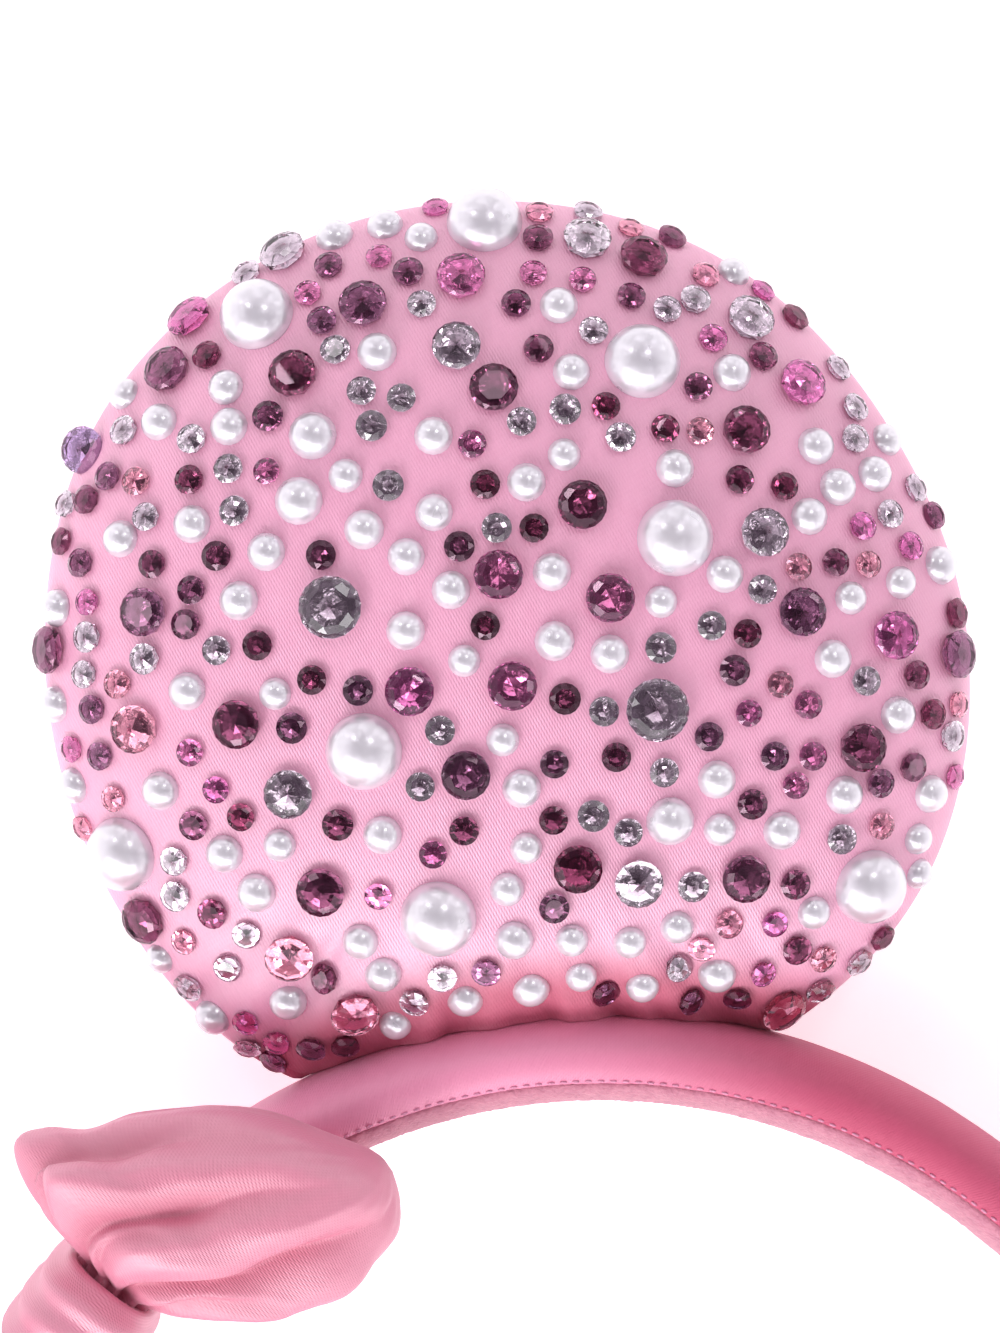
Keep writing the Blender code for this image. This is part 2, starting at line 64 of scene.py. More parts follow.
# Band: its centre line turns through a crown arc, a shoulder arc and a leg arc on each side
CROWN_RADIUS = 0.0750
SHOULDER_RADIUS = 0.0653
LEG_RADIUS = 0.2200
CROWN_END = math.radians(18)
SHOULDER_END = math.radians(90)
LEG_END = math.radians(103)
BAND_ARCS = (
    (CROWN_RADIUS, 0.0, CROWN_END),
    (SHOULDER_RADIUS, CROWN_END, SHOULDER_END),
    (LEG_RADIUS, SHOULDER_END, LEG_END),
)
BAND_THICKNESS = 0.0090
TIP_THICKNESS = 0.0076
TIP_WIDTH = 0.0150
TIP_ROUNDING = 0.0034
TIP_TURN = math.radians(84)
TIP_STEPS = 8
# The knot draws the band in: where that starts and ends along it, and by how much in thickness and in width
CINCH_START = 0.0060
CINCH_END = 0.0095
CINCH_THINNING = 0.0003
CINCH_NARROWING = 0.0018
BAND_SQUARENESS = 2.3
BAND_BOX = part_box("band_cover")
BAND_WIDTH = BAND_BOX[1].z - BAND_BOX[0].z
MID_HEIGHT = (BAND_BOX[0].z + BAND_BOX[1].z) / 2
KNOT_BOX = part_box("bow_knot")
KNOT_CENTRE = (KNOT_BOX[0] + KNOT_BOX[1]) / 2
KNOT_HALVES = (KNOT_BOX[1] - KNOT_BOX[0]) / 2
BAND_TOP = KNOT_CENTRE.y
BAND_STATION = 0.0016
BAND_SIDES = 64
BAND_PULL = 0.00012
BAND_GLOSS = (1.50, 0.10)
# Painted shade on the satin: the headings between which the band turns to it, and how near the seam the ears
# do
PAINTED_SHADE_HEADINGS = (math.radians(38), math.radians(68))
PAINTED_SHADE_REACH = 0.0090
PAINTED_SHADE_START = PAINTED_SHADE_REACH * 0.32

# Satin: the turn and stretch of the pulls along its bias
BIAS_TURN = (0.0, 0.0, math.radians(35))
BIAS_STRETCH = (0.22, 1.0, 1.0)

# Lining: a plush strip let into the band's inner side, held by a row of stitches along each edge
LINING_HALF_SPAN = math.radians(63)
LINING_PROUD = 0.00025
LINING_DEPTH = 0.0010
LINING_SIDES = 26
LINING_ROWS = 640
LINING_SINK = 0.0002
RECESS_SLOPE = 0.10
RECESS_MARGIN = 0.02
NAP = 0.00016
STITCH_PITCH = 0.0013
STITCH_SIZE = (0.00042, 0.00017, 0.00016)
STITCH_OFFSET = 0.085
STITCH_LIFT = 0.00004
# The stitches start beside the knot and stop short of the band's ends
STITCH_START = 0.008
STITCH_END = LEG_END - 0.005

# Ears
EAR_HEADING = math.radians(46)
EAR_LEAN = math.radians(5.4)
EAR_STAND = 0.0379
EAR_RADIUS = 0.0483
EAR_FRONT = 0.0145
EAR_BACK = 0.0100
EAR_OUTLINE = (0.968, 0.966, 0.961, 1.004, 1.038, 1.010, 1.000, 1.030, 0.996, 0.988, 1.004, 0.985)
EAR_TURNS = 400
FRONT_ROWS = 46
WALL_ROWS = 12
BACK_ROWS = 22
RIM_SHARE = 0.985
REST_SHARE = 0.30
ROUND_SHARE = 0.60
# The ear's base is where the angle from its top has a lower cosine than this
BASE_COSINE = -0.5
# The search for the band along a spoke of the ear: its first share of the reach, and its steps and halvings
SEARCH_START = 0.5
SEARCH_STEPS = 16
SEARCH_HALVINGS = 12
SEAM_HALVINGS = 14
GATHER_COUNT = 6
GATHER_DEPTH = 0.0012
GATHER_HALF_SPAN = math.radians(36)
GATHER_START = 0.60
GATHER_FULL = 0.80
GATHER_SHARPNESS = 1.6
GATHER_FADE = (GATHER_HALF_SPAN * 0.95, GATHER_HALF_SPAN * 1.25)
ROLL_REACH = 0.0080
ROLL_DEPTH = 0.0022
TENSION_DEPTH = 0.00022
TENSION_START = 0.48
TENSION_LINES = 26.0
PUCKER_COUNT = 46
PUCKER_WANDER = 2.5
PUCKER_DEPTH = 0.00075
PUCKER_REACH = 0.0042
SEAM_DEPTH = 0.00035
SEAM_HEIGHT = -0.0024
SEAM_HALF_WIDTH = 0.0009

# Forms of the stones, in shares of their diameter
PEARL_RISE = 0.46
FOOT_DEPTH = 0.05
CRYSTAL_RISE = 0.29
GIRDLE_SHARE = 0.16
BASE_RISE = 0.10
BASE_REACH = 0.48
TABLE_SHARE = 0.64
SHOULDER_SHARE = 0.86
SHOULDER_RISE = 0.235
GIRDLE_SIDES = 16
TABLE_SIDES = 8
FLAT_ANGLE = math.radians(2)
FOILED_SLOPE = -0.5
# How the stones are seated, and the diameters past which they are large
STONE_LIFT = 0.00003
PEARL_SINK = 0.00012
SLOPE_NUDGE = 0.0004
LARGE_CRYSTAL = 0.0040
LARGE_PEARL = 0.0060
# The distance that the charted stones' places are seen from
CHART_DISTANCE = 0.400
# How the smallest stones are scattered: as far out as this share of the ear's reach, in this range of sizes,
# evenly over the face up to this steepness, this far from the band, and this share of them near the seam
STONE_REACH = 0.985
SIZE_SPREAD = (0.94, 1.05)
STEEPEST = 2.0
SEAM_MARGIN = 0.0004
SEAM_DRAWS = 0.35
# The gap between stones: how many times the drawn one in the middle of the ear, and how much less at its rim
GAP_IN_MIDDLE = 1.6
GAP_FALL = 1.3

# Charted stones: for each finish and diameter, the places as seen from straight in front, in shares of
# EAR_RADIUS away from the bow and towards the ear's top
CHART = {
    ("pearl", 0.0078): (
        (-0.53, 0.72), (-0.04, 0.92), (0.30, 0.62), (0.37, 0.24), (-0.30, -0.22), (-0.14, -0.58),
        (-0.82, -0.44), (0.79, -0.51),
    ),
    ("pearl", 0.0050): ((-0.41, 0.46), (-0.44, 0.32), (0.36, -0.37)),
    ("pearl", 0.0040): (
        (-0.51, 0.21), (0.12, 0.74), (0.71, -0.02), (-0.68, -0.09), (-0.60, -0.44), (0.92, -0.31),
        (0.46, -0.70), (-0.59, 0.48), (-0.67, 0.27), (-0.15, 0.46), (-0.21, 0.04), (0.05, 0.36),
        (0.37, 0.39), (0.72, 0.35), (0.23, -0.01), (-0.26, -0.40), (0.46, -0.28), (0.60, -0.39),
        (0.04, -0.30), (-0.74, 0.49), (-0.96, 0.09), (0.06, -0.73),
    ),
    ("clear", 0.0064): ((-0.37, 0.09), (0.33, -0.13)),
    ("clear", 0.0050): ((0.56, 0.25), (-0.10, 0.65), (-0.47, 0.85), (0.18, 0.88), (0.53, 0.71),
                        (-0.46, -0.31), (0.29, -0.50)),
    ("amethyst", 0.0050): (
        (-0.45, 0.59), (-0.02, 0.56), (0.52, 0.47), (0.17, 0.31), (0.64, 0.08), (-0.30, 0.74),
        (-0.72, 0.60), (-0.77, 0.08), (-0.97, 0.00), (0.30, 0.84), (0.97, -0.01), (-0.57, -0.16),
        (-0.08, -0.27), (-0.39, -0.52), (-0.77, -0.58), (0.16, -0.47), (0.52, -0.49), (0.77, -0.21),
    ),
    ("lilac", 0.0050): ((-0.90, 0.43),),
    ("fuchsia", 0.0050): (
        (-0.01, 0.16), (0.23, 0.11), (0.02, -0.08), (-0.20, -0.09), (-0.09, 0.80), (-0.67, 0.71),
        (0.64, 0.57), (0.84, 0.03),
    ),
    ("rose", 0.0050): ((-0.46, -0.66), (-0.32, -0.78), (0.60, -0.77), (-0.79, -0.17)),
}

# The smallest stones, scattered between the charted ones: finish, diameter and share of the whole
SCATTER = (
    ("pearl", 0.0040, 0.24),
    ("pearl", 0.0035, 0.14),
    ("amethyst", 0.0031, 0.26),
    ("clear", 0.0031, 0.19),
    ("fuchsia", 0.0029, 0.13),
    ("rose", 0.0029, 0.04),
)

# Finishes that share a piece, and the tone that sets each one apart there
FINISHES = {
    "pearl": ("pearl", 0.5),
    "clear": ("clear", 0.5),
    "amethyst": ("amethyst", 0.15),
    "lilac": ("amethyst", 1.0),
    "fuchsia": ("fuchsia", 0.15),
    "rose": ("fuchsia", 1.0),
}
TONE_SPREAD = 0.15
# For each colour of crystal, its glass: darkest and lightest tone, and the tint of its glints. Then its foil:
# under the darkest and the lightest glass, and in the middle of every stone
# The foil's colour in the middle of every stone is a painted dark reflection under the table
CRYSTAL_COLOURS = {
    "clear": (
        ((0.66, 0.54, 0.62), (0.94, 0.86, 0.92), (1.00, 1.00, 1.00)),
        ((0.90, 0.86, 0.92), (1.00, 0.98, 1.00), (0.17, 0.12, 0.16)),
    ),
    "amethyst": (
        ((0.29, 0.07, 0.14), (0.66, 0.50, 0.76), (0.74, 0.50, 0.62)),
        ((0.70, 0.52, 0.60), (0.85, 0.80, 0.90), (0.26, 0.19, 0.23)),
    ),
    "fuchsia": (
        ((0.62, 0.19, 0.42), (0.80, 0.38, 0.48), (0.98, 0.66, 0.84)),
        ((1.00, 0.80, 0.94), (0.95, 0.80, 0.84), (0.52, 0.38, 0.46)),
    ),
}
STONE_SIZES = (("large", True), ("small", False))
CRYSTAL_NODES = {"clear": (1, 2, 7), "amethyst": (3, 4, 5, 6, 10), "fuchsia": (8, 9, 11, 12)}
PEARL_NODES = range(1, 9)
# Facets of a pearl round it and from its top to its foot
PEARL_FACETS = {"large": (40, 12), "small": (16, 5)}

# Bow and the knot that ties it to the band
BOW_HALF_LENGTH = 0.0330
BOW_RISE = 0.0175
BOW_FRONT_DEPTH = 0.0095
BOW_BACK_DEPTH = 0.0027
BOW_LEVEL = MID_HEIGHT + BAND_WIDTH / 2 + CLEARANCE * 2 + BOW_BACK_DEPTH
KNOT_WALL = 0.0015
WAIST_HALF_HEIGHT = 0.0048
WAIST_FRONT_DEPTH = 0.0044
WAIST_BACK_DEPTH = 0.0028
WAIST_LEVEL = MID_HEIGHT + BAND_WIDTH / 2 - KNOT_WALL + WAIST_BACK_DEPTH
WAIST_ROW = (
    0.190, WAIST_HALF_HEIGHT / BOW_RISE, 0.190, -WAIST_HALF_HEIGHT / BOW_RISE,
    WAIST_FRONT_DEPTH / BOW_FRONT_DEPTH, WAIST_BACK_DEPTH / BOW_BACK_DEPTH,
)
# A row for each section of a loop: along and rise of its top edge, the same of its bottom edge, then its
# depth in front and behind
BOW_SECTIONS = (
    WAIST_ROW,
    (0.250, 0.70, 0.250, -0.52, 0.68, 0.80),
    (0.340, 0.96, 0.345, -0.78, 0.92, 1.00),
    (0.430, 0.89, 0.430, -0.95, 1.00, 1.00),
    (0.515, 0.66, 0.520, -1.06, 0.99, 1.00),
    (0.640, 0.49, 0.620, -1.14, 1.00, 1.00),
    (0.790, 0.23, 0.730, -1.17, 0.92, 1.00),
    (0.895, -0.08, 0.840, -1.12, 0.78, 0.95),
    (0.960, -0.45, 0.930, -1.00, 0.52, 0.80),
    (0.995, -0.66, 0.985, -0.86, 0.22, 0.40),
)
# A row for each crease of a loop: its angle at the knot and its turn for each section in degrees, its depth
# as a share of the section, its half width in degrees, and the number of sections it runs through
BOW_CREASES = (
    (12, 5, 0.20, 11, 8.5),
    (38, -3, 0.16, 9, 4.5),
    (62, 4, 0.34, 12, 8.0),
    (92, -4, 0.24, 10, 5.5),
    (118, 3, 0.36, 12, 9.0),
    (148, -2, 0.22, 10, 5.0),
    (172, 2, 0.24, 12, 8.0),
    (215, 3, 0.25, 12, 6.0),
    (262, -3, 0.30, 12, 7.0),
    (310, 2, 0.25, 12, 6.0),
)
CREASE_WANDER = 5.0
CREASE_FADE = 0.45
# A crease's width, in times its half width: at the knot, and how much more with each section
CREASE_START_WIDTH = 0.75
CREASE_WIDENING = 0.10
CREASE_SHARPNESS = 1.5
# Painted shade in the bow's creases: its share for each share of crease depth, and its most
CREASE_SHADE = 2.2
CREASE_SHADE_LIMIT = 0.8
BOW_FULLNESS = 0.99
BOW_PUFF = 0.05
BOW_RIPPLE = 0.03
BOW_TURNS = 180
BOW_SUBSTEPS = 8
BOW_GIRTH = BOW_RISE * 4.6
# The rings that close a loop's end: their shares of the last section, and how far the end swells
BOW_END_SHARES = (0.82, 0.55, 0.22)
BOW_END_SWELL = 0.0004
KNOT_TURNS = 144
KNOT_SQUARENESS = 3.4
KNOT_ROWS = 28
KNOT_FOLDS = 3.5
KNOT_FOLD_DEPTH = 0.0006
KNOT_TWIST = 0.8
KNOT_SLOPE = 0.16
KNOT_SHOULDER = 3.5
KNOT_LIP = 0.96
KNOT_GIRTH = 0.080

# Camera and light: the view is straight down on the right ear, turned so that the ear stands upright
VIEW_DISTANCE = 0.380
LENS = 98.5
PIXELS_PER_METRE = 9600
EAR_PIXEL = (503, 650)
IMAGE_SIZE = (1000, 1333)
FLOOR_RADIUS = 4.0
LIGHT_DISTANCE = 0.80
# Soft lights: the setting that holds their power and their share of it, degrees from the zenith and clockwise
# from the ear's top, and size
SOFTBOXES = (
    ("key", "key_power", 1.0, 47, 196, (1.50, 0.46)),
    ("glint_right", "glint_power", 1.0, 34, 31, (0.09, 0.09)),
    ("glint_left", "glint_power", 0.6, 48, -39, (0.08, 0.08)),
    ("glint_low", "glint_power", 4.5, 60, 212, (0.24, 0.24)),
)
# Strength of the air where it is dimmest, of its brighter patches, and of its small lamps
AIR_STRENGTH = 0.35
PATCH_STRENGTH = 5.0
LAMP_STRENGTH = 3.0
LAMP_DENSITY = 7.0
LAMP_SIZE = 0.20
# Colour of the air at each height, as shares of the way from the horizon to the zenith
AIR_SHADES = (
    (0.0, (1.0, 0.98, 1.0)),
    (0.38, (0.78, 0.75, 0.78)),
    (0.74, (0.20, 0.17, 0.20)),
    (1.0, (0.09, 0.07, 0.09)),
)


# Small helpers


def clamp(value, low, high):
    return max(low, min(high, value))


def smooth(value, start, full):
    """0 before start and 1 past full, with an even curve between them."""
    share = clamp((value - start) / (full - start), 0.0, 1.0)
    return share * share * (3 - 2 * share)


def between(rows, place):
    """A smooth curve through the rows, read at a place counted in rows."""
    i = int(clamp(math.floor(place), 0, len(rows) - 2))
    t = place - i
    before, start, end, after = (rows[clamp(i + k, 0, len(rows) - 1)] for k in (-1, 0, 1, 2))
    return [
        b * (2 * t**3 - 3 * t**2 + 1) + c * (3 * t**2 - 2 * t**3)
        + (c - a) / 2 * (t**3 - 2 * t**2 + t) + (d - b) / 2 * (t**3 - t**2)
        for a, b, c, d in zip(before, start, end, after)
    ]


def rounded(half, value, squareness):
    """One coordinate of a superellipse, from the sine or cosine of its angle."""
    return half * math.copysign(abs(value) ** (2 / squareness), value)


def uneven(x, y, z):
    """Smooth noise between about -1 and 1."""
    return noise.noise(Vector((x, y, z)))


def facing(direction):
    """The turn whose Z axis runs along a direction."""
    return direction.to_track_quat("Z", "Y").to_matrix().to_4x4()


def axes(*directions):
    """The turn whose X, Y and Z axes run along three directions."""
    return Matrix([direction.normalized() for direction in directions]).transposed().to_4x4()


# Shader maths


class Wire:
    """A socket of a node tree. Arithmetic on it adds Math nodes, and node() adds any other kind."""

    def __init__(self, tree, socket=None):
        self.tree = tree
        self.socket = socket

    def node(self, kind, inputs=None, output=0, stops=None, **settings):
        """Adds a node with its settings and its ramp's stops, then its inputs' values or links."""
        made = self.tree.nodes.new(kind)
        for name, value in settings.items():
            setattr(made, name, value)
        if stops:
            ramp = made.color_ramp.elements
            while len(ramp) < len(stops):
                ramp.new(0.5)
            for element, (position, colour) in zip(ramp, stops):
                element.position = position
                element.color = (*colour, 1.0)
        for key, value in (inputs or {}).items():
            if isinstance(value, Wire):
                self.tree.links.new(value.socket, made.inputs[key])
            else:
                made.inputs[key].default_value = value
        return Wire(self.tree, made.outputs[output] if made.outputs else None)

    def maths(self, operation, *values):
        return self.node("ShaderNodeMath", dict(enumerate(values)), operation=operation)

    def sine(self):
        return self.maths("SINE", self)

    def mix(self, low, high):
        """A colour that goes from low to high as this value goes from 0 to 1."""
        low, high = (value if isinstance(value, Wire) else (*value, 1.0) for value in (low, high))
        return self.node("ShaderNodeMix", {0: self, 6: low, 7: high}, output=2, data_type="RGBA")

    def __add__(self, other):
        return self.maths("ADD", self, other)

    __radd__ = __add__

    def __sub__(self, other):
        return self.maths("SUBTRACT", self, other)

    def __rsub__(self, other):
        return self.maths("SUBTRACT", other, self)

    def __mul__(self, other):
        return self.maths("MULTIPLY", self, other)

    __rmul__ = __mul__

    def __pow__(self, other):
        return self.maths("POWER", self, other)


def new_material(name):
    """An empty node material, with a Wire to start its nodes from."""
    material = bpy.data.materials.new(name)
    material.use_nodes = True
    material.node_tree.nodes.clear()
    return material, Wire(material.node_tree)


def surface(start, inputs):
    """Ends a material in a Principled surface."""
    shader = start.node("ShaderNodeBsdfPrincipled", inputs)
    start.node("ShaderNodeOutputMaterial", {"Surface": shader})


def mottle(place, scale, detail):
    """Cloudy noise at a place, from 0 to 1."""
    return place.node("ShaderNodeTexNoise", {"Vector": place, "Scale": scale, "Detail": detail})


def relief(height, strength, distance, **below):
    """The normal of a surface raised by a height, over the normal below it if one is given."""
    inputs = {"Height": height, "Strength": strength, "Distance": distance, **below}
    return height.node("ShaderNodeBump", inputs)


def own(start, name):
    """A number that each vertex carries."""
    return start.node("ShaderNodeAttribute", attribute_name=name, output=2)


def satin(name, settings, colour, shade, gloss=(1.90, 0.30)):
    """Woven satin: a fine diagonal twill, soft slubs and slow changes of colour, painted shade in its dips
    and folds.

    Its gloss is the refractive index of its threads and the weight of its sheen.
    """
    material, start = new_material(name)
    place = start.node("ShaderNodeUVMap", uv_map="cloth")
    warp, weft = (start.node("ShaderNodeSeparateXYZ", {0: place}, output=i) for i in (0, 1))
    turn = math.tau / settings.weave_pitch
    twill = ((warp + weft * settings.weave_slant) * turn).sine()
    threads = (warp * turn * settings.thread_count).sine() * 0.45
    slubs = mottle(place, 900.0, 3.0)
    bias = start.node("ShaderNodeMapping", {"Vector": place, "Rotation": BIAS_TURN, "Scale": BIAS_STRETCH})
    drift = mottle(bias, 130.0, 2.0)
    weave = relief(twill * (0.35 + 0.9 * slubs) + threads, 0.55, settings.weave_relief)
    # Painted shade: each vertex's deep share turns the base colour to the painted shade colour of gathers and
    # creases
    deep = own(start, "deep")
    # Partly random slubs, partly painted shade: lighter where the drift and the twill raise the relief,
    # darker where they sink
    lit = (0.35 * drift + 0.45 * slubs + 0.12 * twill - 0.05).mix(shade, colour)
    surface(start, {
        "Base Color": deep.mix(lit, settings.satin_painted_shade),
        "Roughness": 0.12 * slubs + 0.20 * deep + (settings.satin_roughness - 0.06),
        "Normal": relief(drift, 0.35, 0.0004, Normal=weave),
        "IOR": gloss[0],
        "Specular IOR Level": 0.85,
        "Sheen Weight": gloss[1],
        "Sheen Roughness": 0.45,
        "Sheen Tint": (1.0, 0.85, 0.92, 1.0),
    })
    return material


def plush(settings):
    """Short fuzzy pile."""
    material, start = new_material("rose_plush")
    place = start.node("ShaderNodeTexCoord", output=3)
    pile = mottle(place, 2600.0, 4.0)
    tufts = mottle(place, 700.0, 3.0)
    surface(start, {
        # Partly random tone of the pile, partly painted shade: the base colour darkens where the pile's
        # relief sinks
        "Base Color": (0.8 * pile + 0.7 * tufts - 0.3).mix((0.36, 0.10, 0.17), settings.plush_colour),
        "Roughness": 0.80 + 0.2 * pile,
        "Normal": relief(pile + tufts * 0.6, 0.9, 0.00025),
        "Sheen Weight": 0.45,
        "Sheen Roughness": 0.5,
        "Sheen Tint": (1.0, 0.82, 0.86, 1.0),
    })
    return material


def thread(settings):
    """Twisted sewing thread."""
    material, start = new_material("sewing_thread")
    place = start.node("ShaderNodeTexCoord", output=3)
    twist = mottle(place, 4000.0, 2.0)
    surface(start, {
        # Partly random tone, partly painted shade: the thread darkens where its twist's relief sinks
        "Base Color": twist.mix((0.42, 0.12, 0.21), settings.satin_colour),
        "Roughness": 0.45 + 0.2 * twist,
        "Normal": relief(twist, 0.5, 0.00005),
    })
    return material


def nacre():
    """The lustrous lacquer of a half pearl."""
    material, start = new_material("pearl_nacre")
    place = start.node("ShaderNodeTexCoord", output=3)
    cloud = mottle(place, 260.0, 2.0)
    lightness = 0.6 * cloud + 0.6 * own(start, "tone") - 0.1
    surface(start, {
        "Base Color": lightness.mix((0.66, 0.63, 0.70), (0.78, 0.75, 0.79)),
        "Metallic": 0.38 + 0.10 * cloud,
        "Roughness": 0.24 + 0.10 * cloud,
        "Coat Weight": 0.9,
        "Coat Roughness": 0.13,
        "Coat IOR": 1.55,
    })
    return material


def cut_glass(name, dark, light, glint):
    """Coloured glass, with a tone of its own on each stone."""
    material, start = new_material(name)
    surface(start, {
        "Base Color": own(start, "tone").mix(dark, light),
        "Roughness": 0.015,
        "IOR": 1.60,
        "Specular Tint": (*glint, 1.0),
        "Transmission Weight": 1.0,
    })
    return material


def foil(name, dark, light, middle):
    """The foil behind a cut stone: bright round its edge, with a painted dark reflection in the middle under
    the table.
    """
    material, start = new_material(name)
    place = start.node("ShaderNodeTexCoord", output=3)
    ripple = mottle(place, 1500.0, 1.0)
    surface(start, {
        "Base Color": own(start, "spread").mix(middle, own(start, "tone").mix(dark, light)),
        "Metallic": 1.0,
        "Roughness": 0.06 + 0.08 * ripple,
        "Normal": relief(ripple, 0.35, 0.00007),
    })
    return material


def pale_floor(settings):
    """Smooth pale studio paper."""
    material, start = new_material("studio_floor")
    place = start.node("ShaderNodeTexCoord", output=3)
    grain = mottle(place, 40.0, 3.0)
    white = settings.floor_shade
    surface(start, {
        "Base Color": grain.mix((white * 0.985,) * 3, (white,) * 3),
        "Roughness": 0.85 + 0.1 * grain,
        "Emission Color": (1.0, 0.99, 1.0, 1.0),
        "Emission Strength": settings.floor_glow,
    })
    return material


# Mesh helpers


def add_object(name, data):
    made = bpy.data.objects.new(name, data)
    bpy.context.scene.collection.objects.link(made)
    return made


def mesh_object(name, bm, materials):
    """Closes a bmesh into an object with its materials."""
    mesh = bpy.data.meshes.new(name)
    bm.to_mesh(mesh)
    bm.free()
    for material in materials:
        mesh.materials.append(material)
    return add_object(name, mesh)


def finish_piece(name, bm, slot, *materials, smooth_shade=True):
    """Closes a bmesh into a piece with its materials, riding on the headband. Its slot is not used."""
    piece = mesh_object(name, bm, materials)
    if smooth_shade:
        piece.data.shade_smooth()
    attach(piece, "root")
    return piece


def open_edges(geometry):
    """The edges that only one face uses."""
    return [part for part in geometry if isinstance(part, bmesh.types.BMEdge) and len(part.link_faces) == 1]


def swept(rings, row_uv, around, closed_ends=True):
    """Draws a tube through rings of equally many points, one extrusion after another.

    Its UV map unrolls it: row_uv holds each ring's place along it, and around is the way round it.
    """
    bm = bmesh.new()
    turn = bm.verts.layers.int.new("turn")
    row = bm.verts.layers.int.new("row")
    count = len(rings[0])
    first = bmesh.ops.create_circle(bm, segments=count, radius=1.0)["verts"]
    for i, (vert, point) in enumerate(zip(first, rings[0])):
        vert[turn] = i
        vert.co = point
    edges = bm.edges[:]
    if closed_ends:
        bmesh.ops.contextual_create(bm, geom=edges)
    for number, ring in enumerate(rings[1:], 1):
        made = bmesh.ops.extrude_edge_only(bm, edges=edges)["geom"]
        edges = open_edges(made)
        for vert in (part for part in made if isinstance(part, bmesh.types.BMVert)):
            vert[row] = number
            vert.co = ring[vert[turn]]
    if closed_ends:
        bmesh.ops.contextual_create(bm, geom=edges)
    cloth = bm.loops.layers.uv.new("cloth")
    for face in bm.faces:
        turns = [vert[turn] for vert in face.verts]
        wraps = max(turns) - min(turns) > count / 2 and len(turns) == 4
        for loop in face.loops:
            place = loop.vert[turn]
            if wraps and place < count / 2:
                place += count
            loop[cloth].uv = (row_uv[loop.vert[row]], around * place / count)
    bmesh.ops.recalc_face_normals(bm, faces=bm.faces)
    return bm


def run_lengths(points):
    """How far along a line each of its points lies."""
    lengths = [0.0]
    for near, far in zip(points, points[1:]):
        lengths.append(lengths[-1] + (far - near).length)
    return lengths


# Band


def band_point(heading):
    """The centre line's point where the band has turned this far from level."""
    turned = abs(heading)
    across, rise = 0.0, BAND_TOP
    for radius, start, end in BAND_ARCS:
        stop = min(turned, end)
        if stop > start:
            across += radius * (math.sin(stop) - math.sin(start))
            rise += radius * (math.cos(stop) - math.cos(start))
    return Vector((math.copysign(across, heading), rise, MID_HEIGHT))


def outwards(heading):
    """The way from the head to the band at a heading."""
    return Vector((math.sin(heading), math.cos(heading), 0.0))


def downwards(side):
    """The way that a leg runs at its end."""
    return Vector((math.cos(side * LEG_END), -math.sin(side * LEG_END), 0.0)) * side


def band_halves(heading):
    """Half the band's thickness and width at a heading, tapered down the legs."""
    share = max(0.0, (abs(heading) - SHOULDER_END) / (LEG_END - SHOULDER_END))
    thickness = BAND_THICKNESS + (TIP_THICKNESS - BAND_THICKNESS) * share
    width = BAND_WIDTH + (TIP_WIDTH - BAND_WIDTH) * share
    drawn = 1 - smooth(abs(heading) * CROWN_RADIUS, CINCH_START, CINCH_END)
    return thickness / 2 - CINCH_THINNING * drawn, width / 2 - CINCH_NARROWING * drawn


def section_point(halves, angle, inset=0.0):
    """A point (outwards, front) of the band's section, at an angle from straight outwards."""
    return (
        rounded(halves[0] - inset, math.cos(angle), BAND_SQUARENESS),
        rounded(halves[1] - inset, math.sin(angle), BAND_SQUARENESS),
    )


def placed(points, centre, normal):
    return [centre + normal * out + Z_AXIS * front for out, front in points]


def band_headings():
    """Headings about one BAND_STATION apart along the whole band."""
    headings = []
    for radius, start, end in BAND_ARCS:
        count = math.ceil(radius * (end - start) / BAND_STATION)
        headings += [start + (end - start) * i / count for i in range(count)]
    headings.append(LEG_END)
    return [-h for h in reversed(headings[1:])] + headings


def cover_ring(heading, halves):
    """The satin's section, drawn in under the lining and pulled a little by its bias."""
    points = []
    for i in range(BAND_SIDES):
        angle = math.tau * i / BAND_SIDES
        off = abs(angle - math.pi)
        under = 1 - smooth(off, LINING_HALF_SPAN - RECESS_SLOPE, LINING_HALF_SPAN + RECESS_MARGIN)
        crease = uneven(heading * 9.0, angle * 0.9 + heading * 5.0, 3.7)
        inset = (LINING_DEPTH - CLEARANCE) * under + BAND_PULL * abs(crease)
        points.append(section_point(halves, angle, inset))
    return points


def make_band_cover(settings):
    headings = band_headings()
    rings = [placed(cover_ring(h, band_halves(h)), band_point(h), outwards(h)) for h in headings]
    for side in (1, -1):
        heading = side * LEG_END
        thick, wide = band_halves(heading)
        for step in range(1, TIP_STEPS + 1):
            angle = TIP_TURN * step / TIP_STEPS
            shrink = TIP_ROUNDING * (1 - math.cos(angle))
            centre = band_point(heading) + downwards(side) * TIP_ROUNDING * math.sin(angle)
            ring = placed(cover_ring(heading, (thick - shrink, wide - shrink)), centre, outwards(heading))
            rings.insert(len(rings) if side > 0 else 0, ring)
    along = run_lengths([ring[0] for ring in rings])
    around = math.pi * (BAND_THICKNESS + BAND_WIDTH) / 2
    bm = swept(rings, along, around)
    deep = bm.verts.layers.float.new("deep")
    # Painted shade: the band's satin darkens from about the ears on down its legs
    for vert in bm.verts:
        off = vert.co - CROWN_CENTRE
        vert[deep] = smooth(math.atan2(abs(off.x), off.y), *PAINTED_SHADE_HEADINGS)
    cover = satin("band_satin", settings, settings.band_colour, settings.band_shade, BAND_GLOSS)
    piece = finish_piece("band_satin", bm, "pink_satin", cover)
    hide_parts("band_cover")


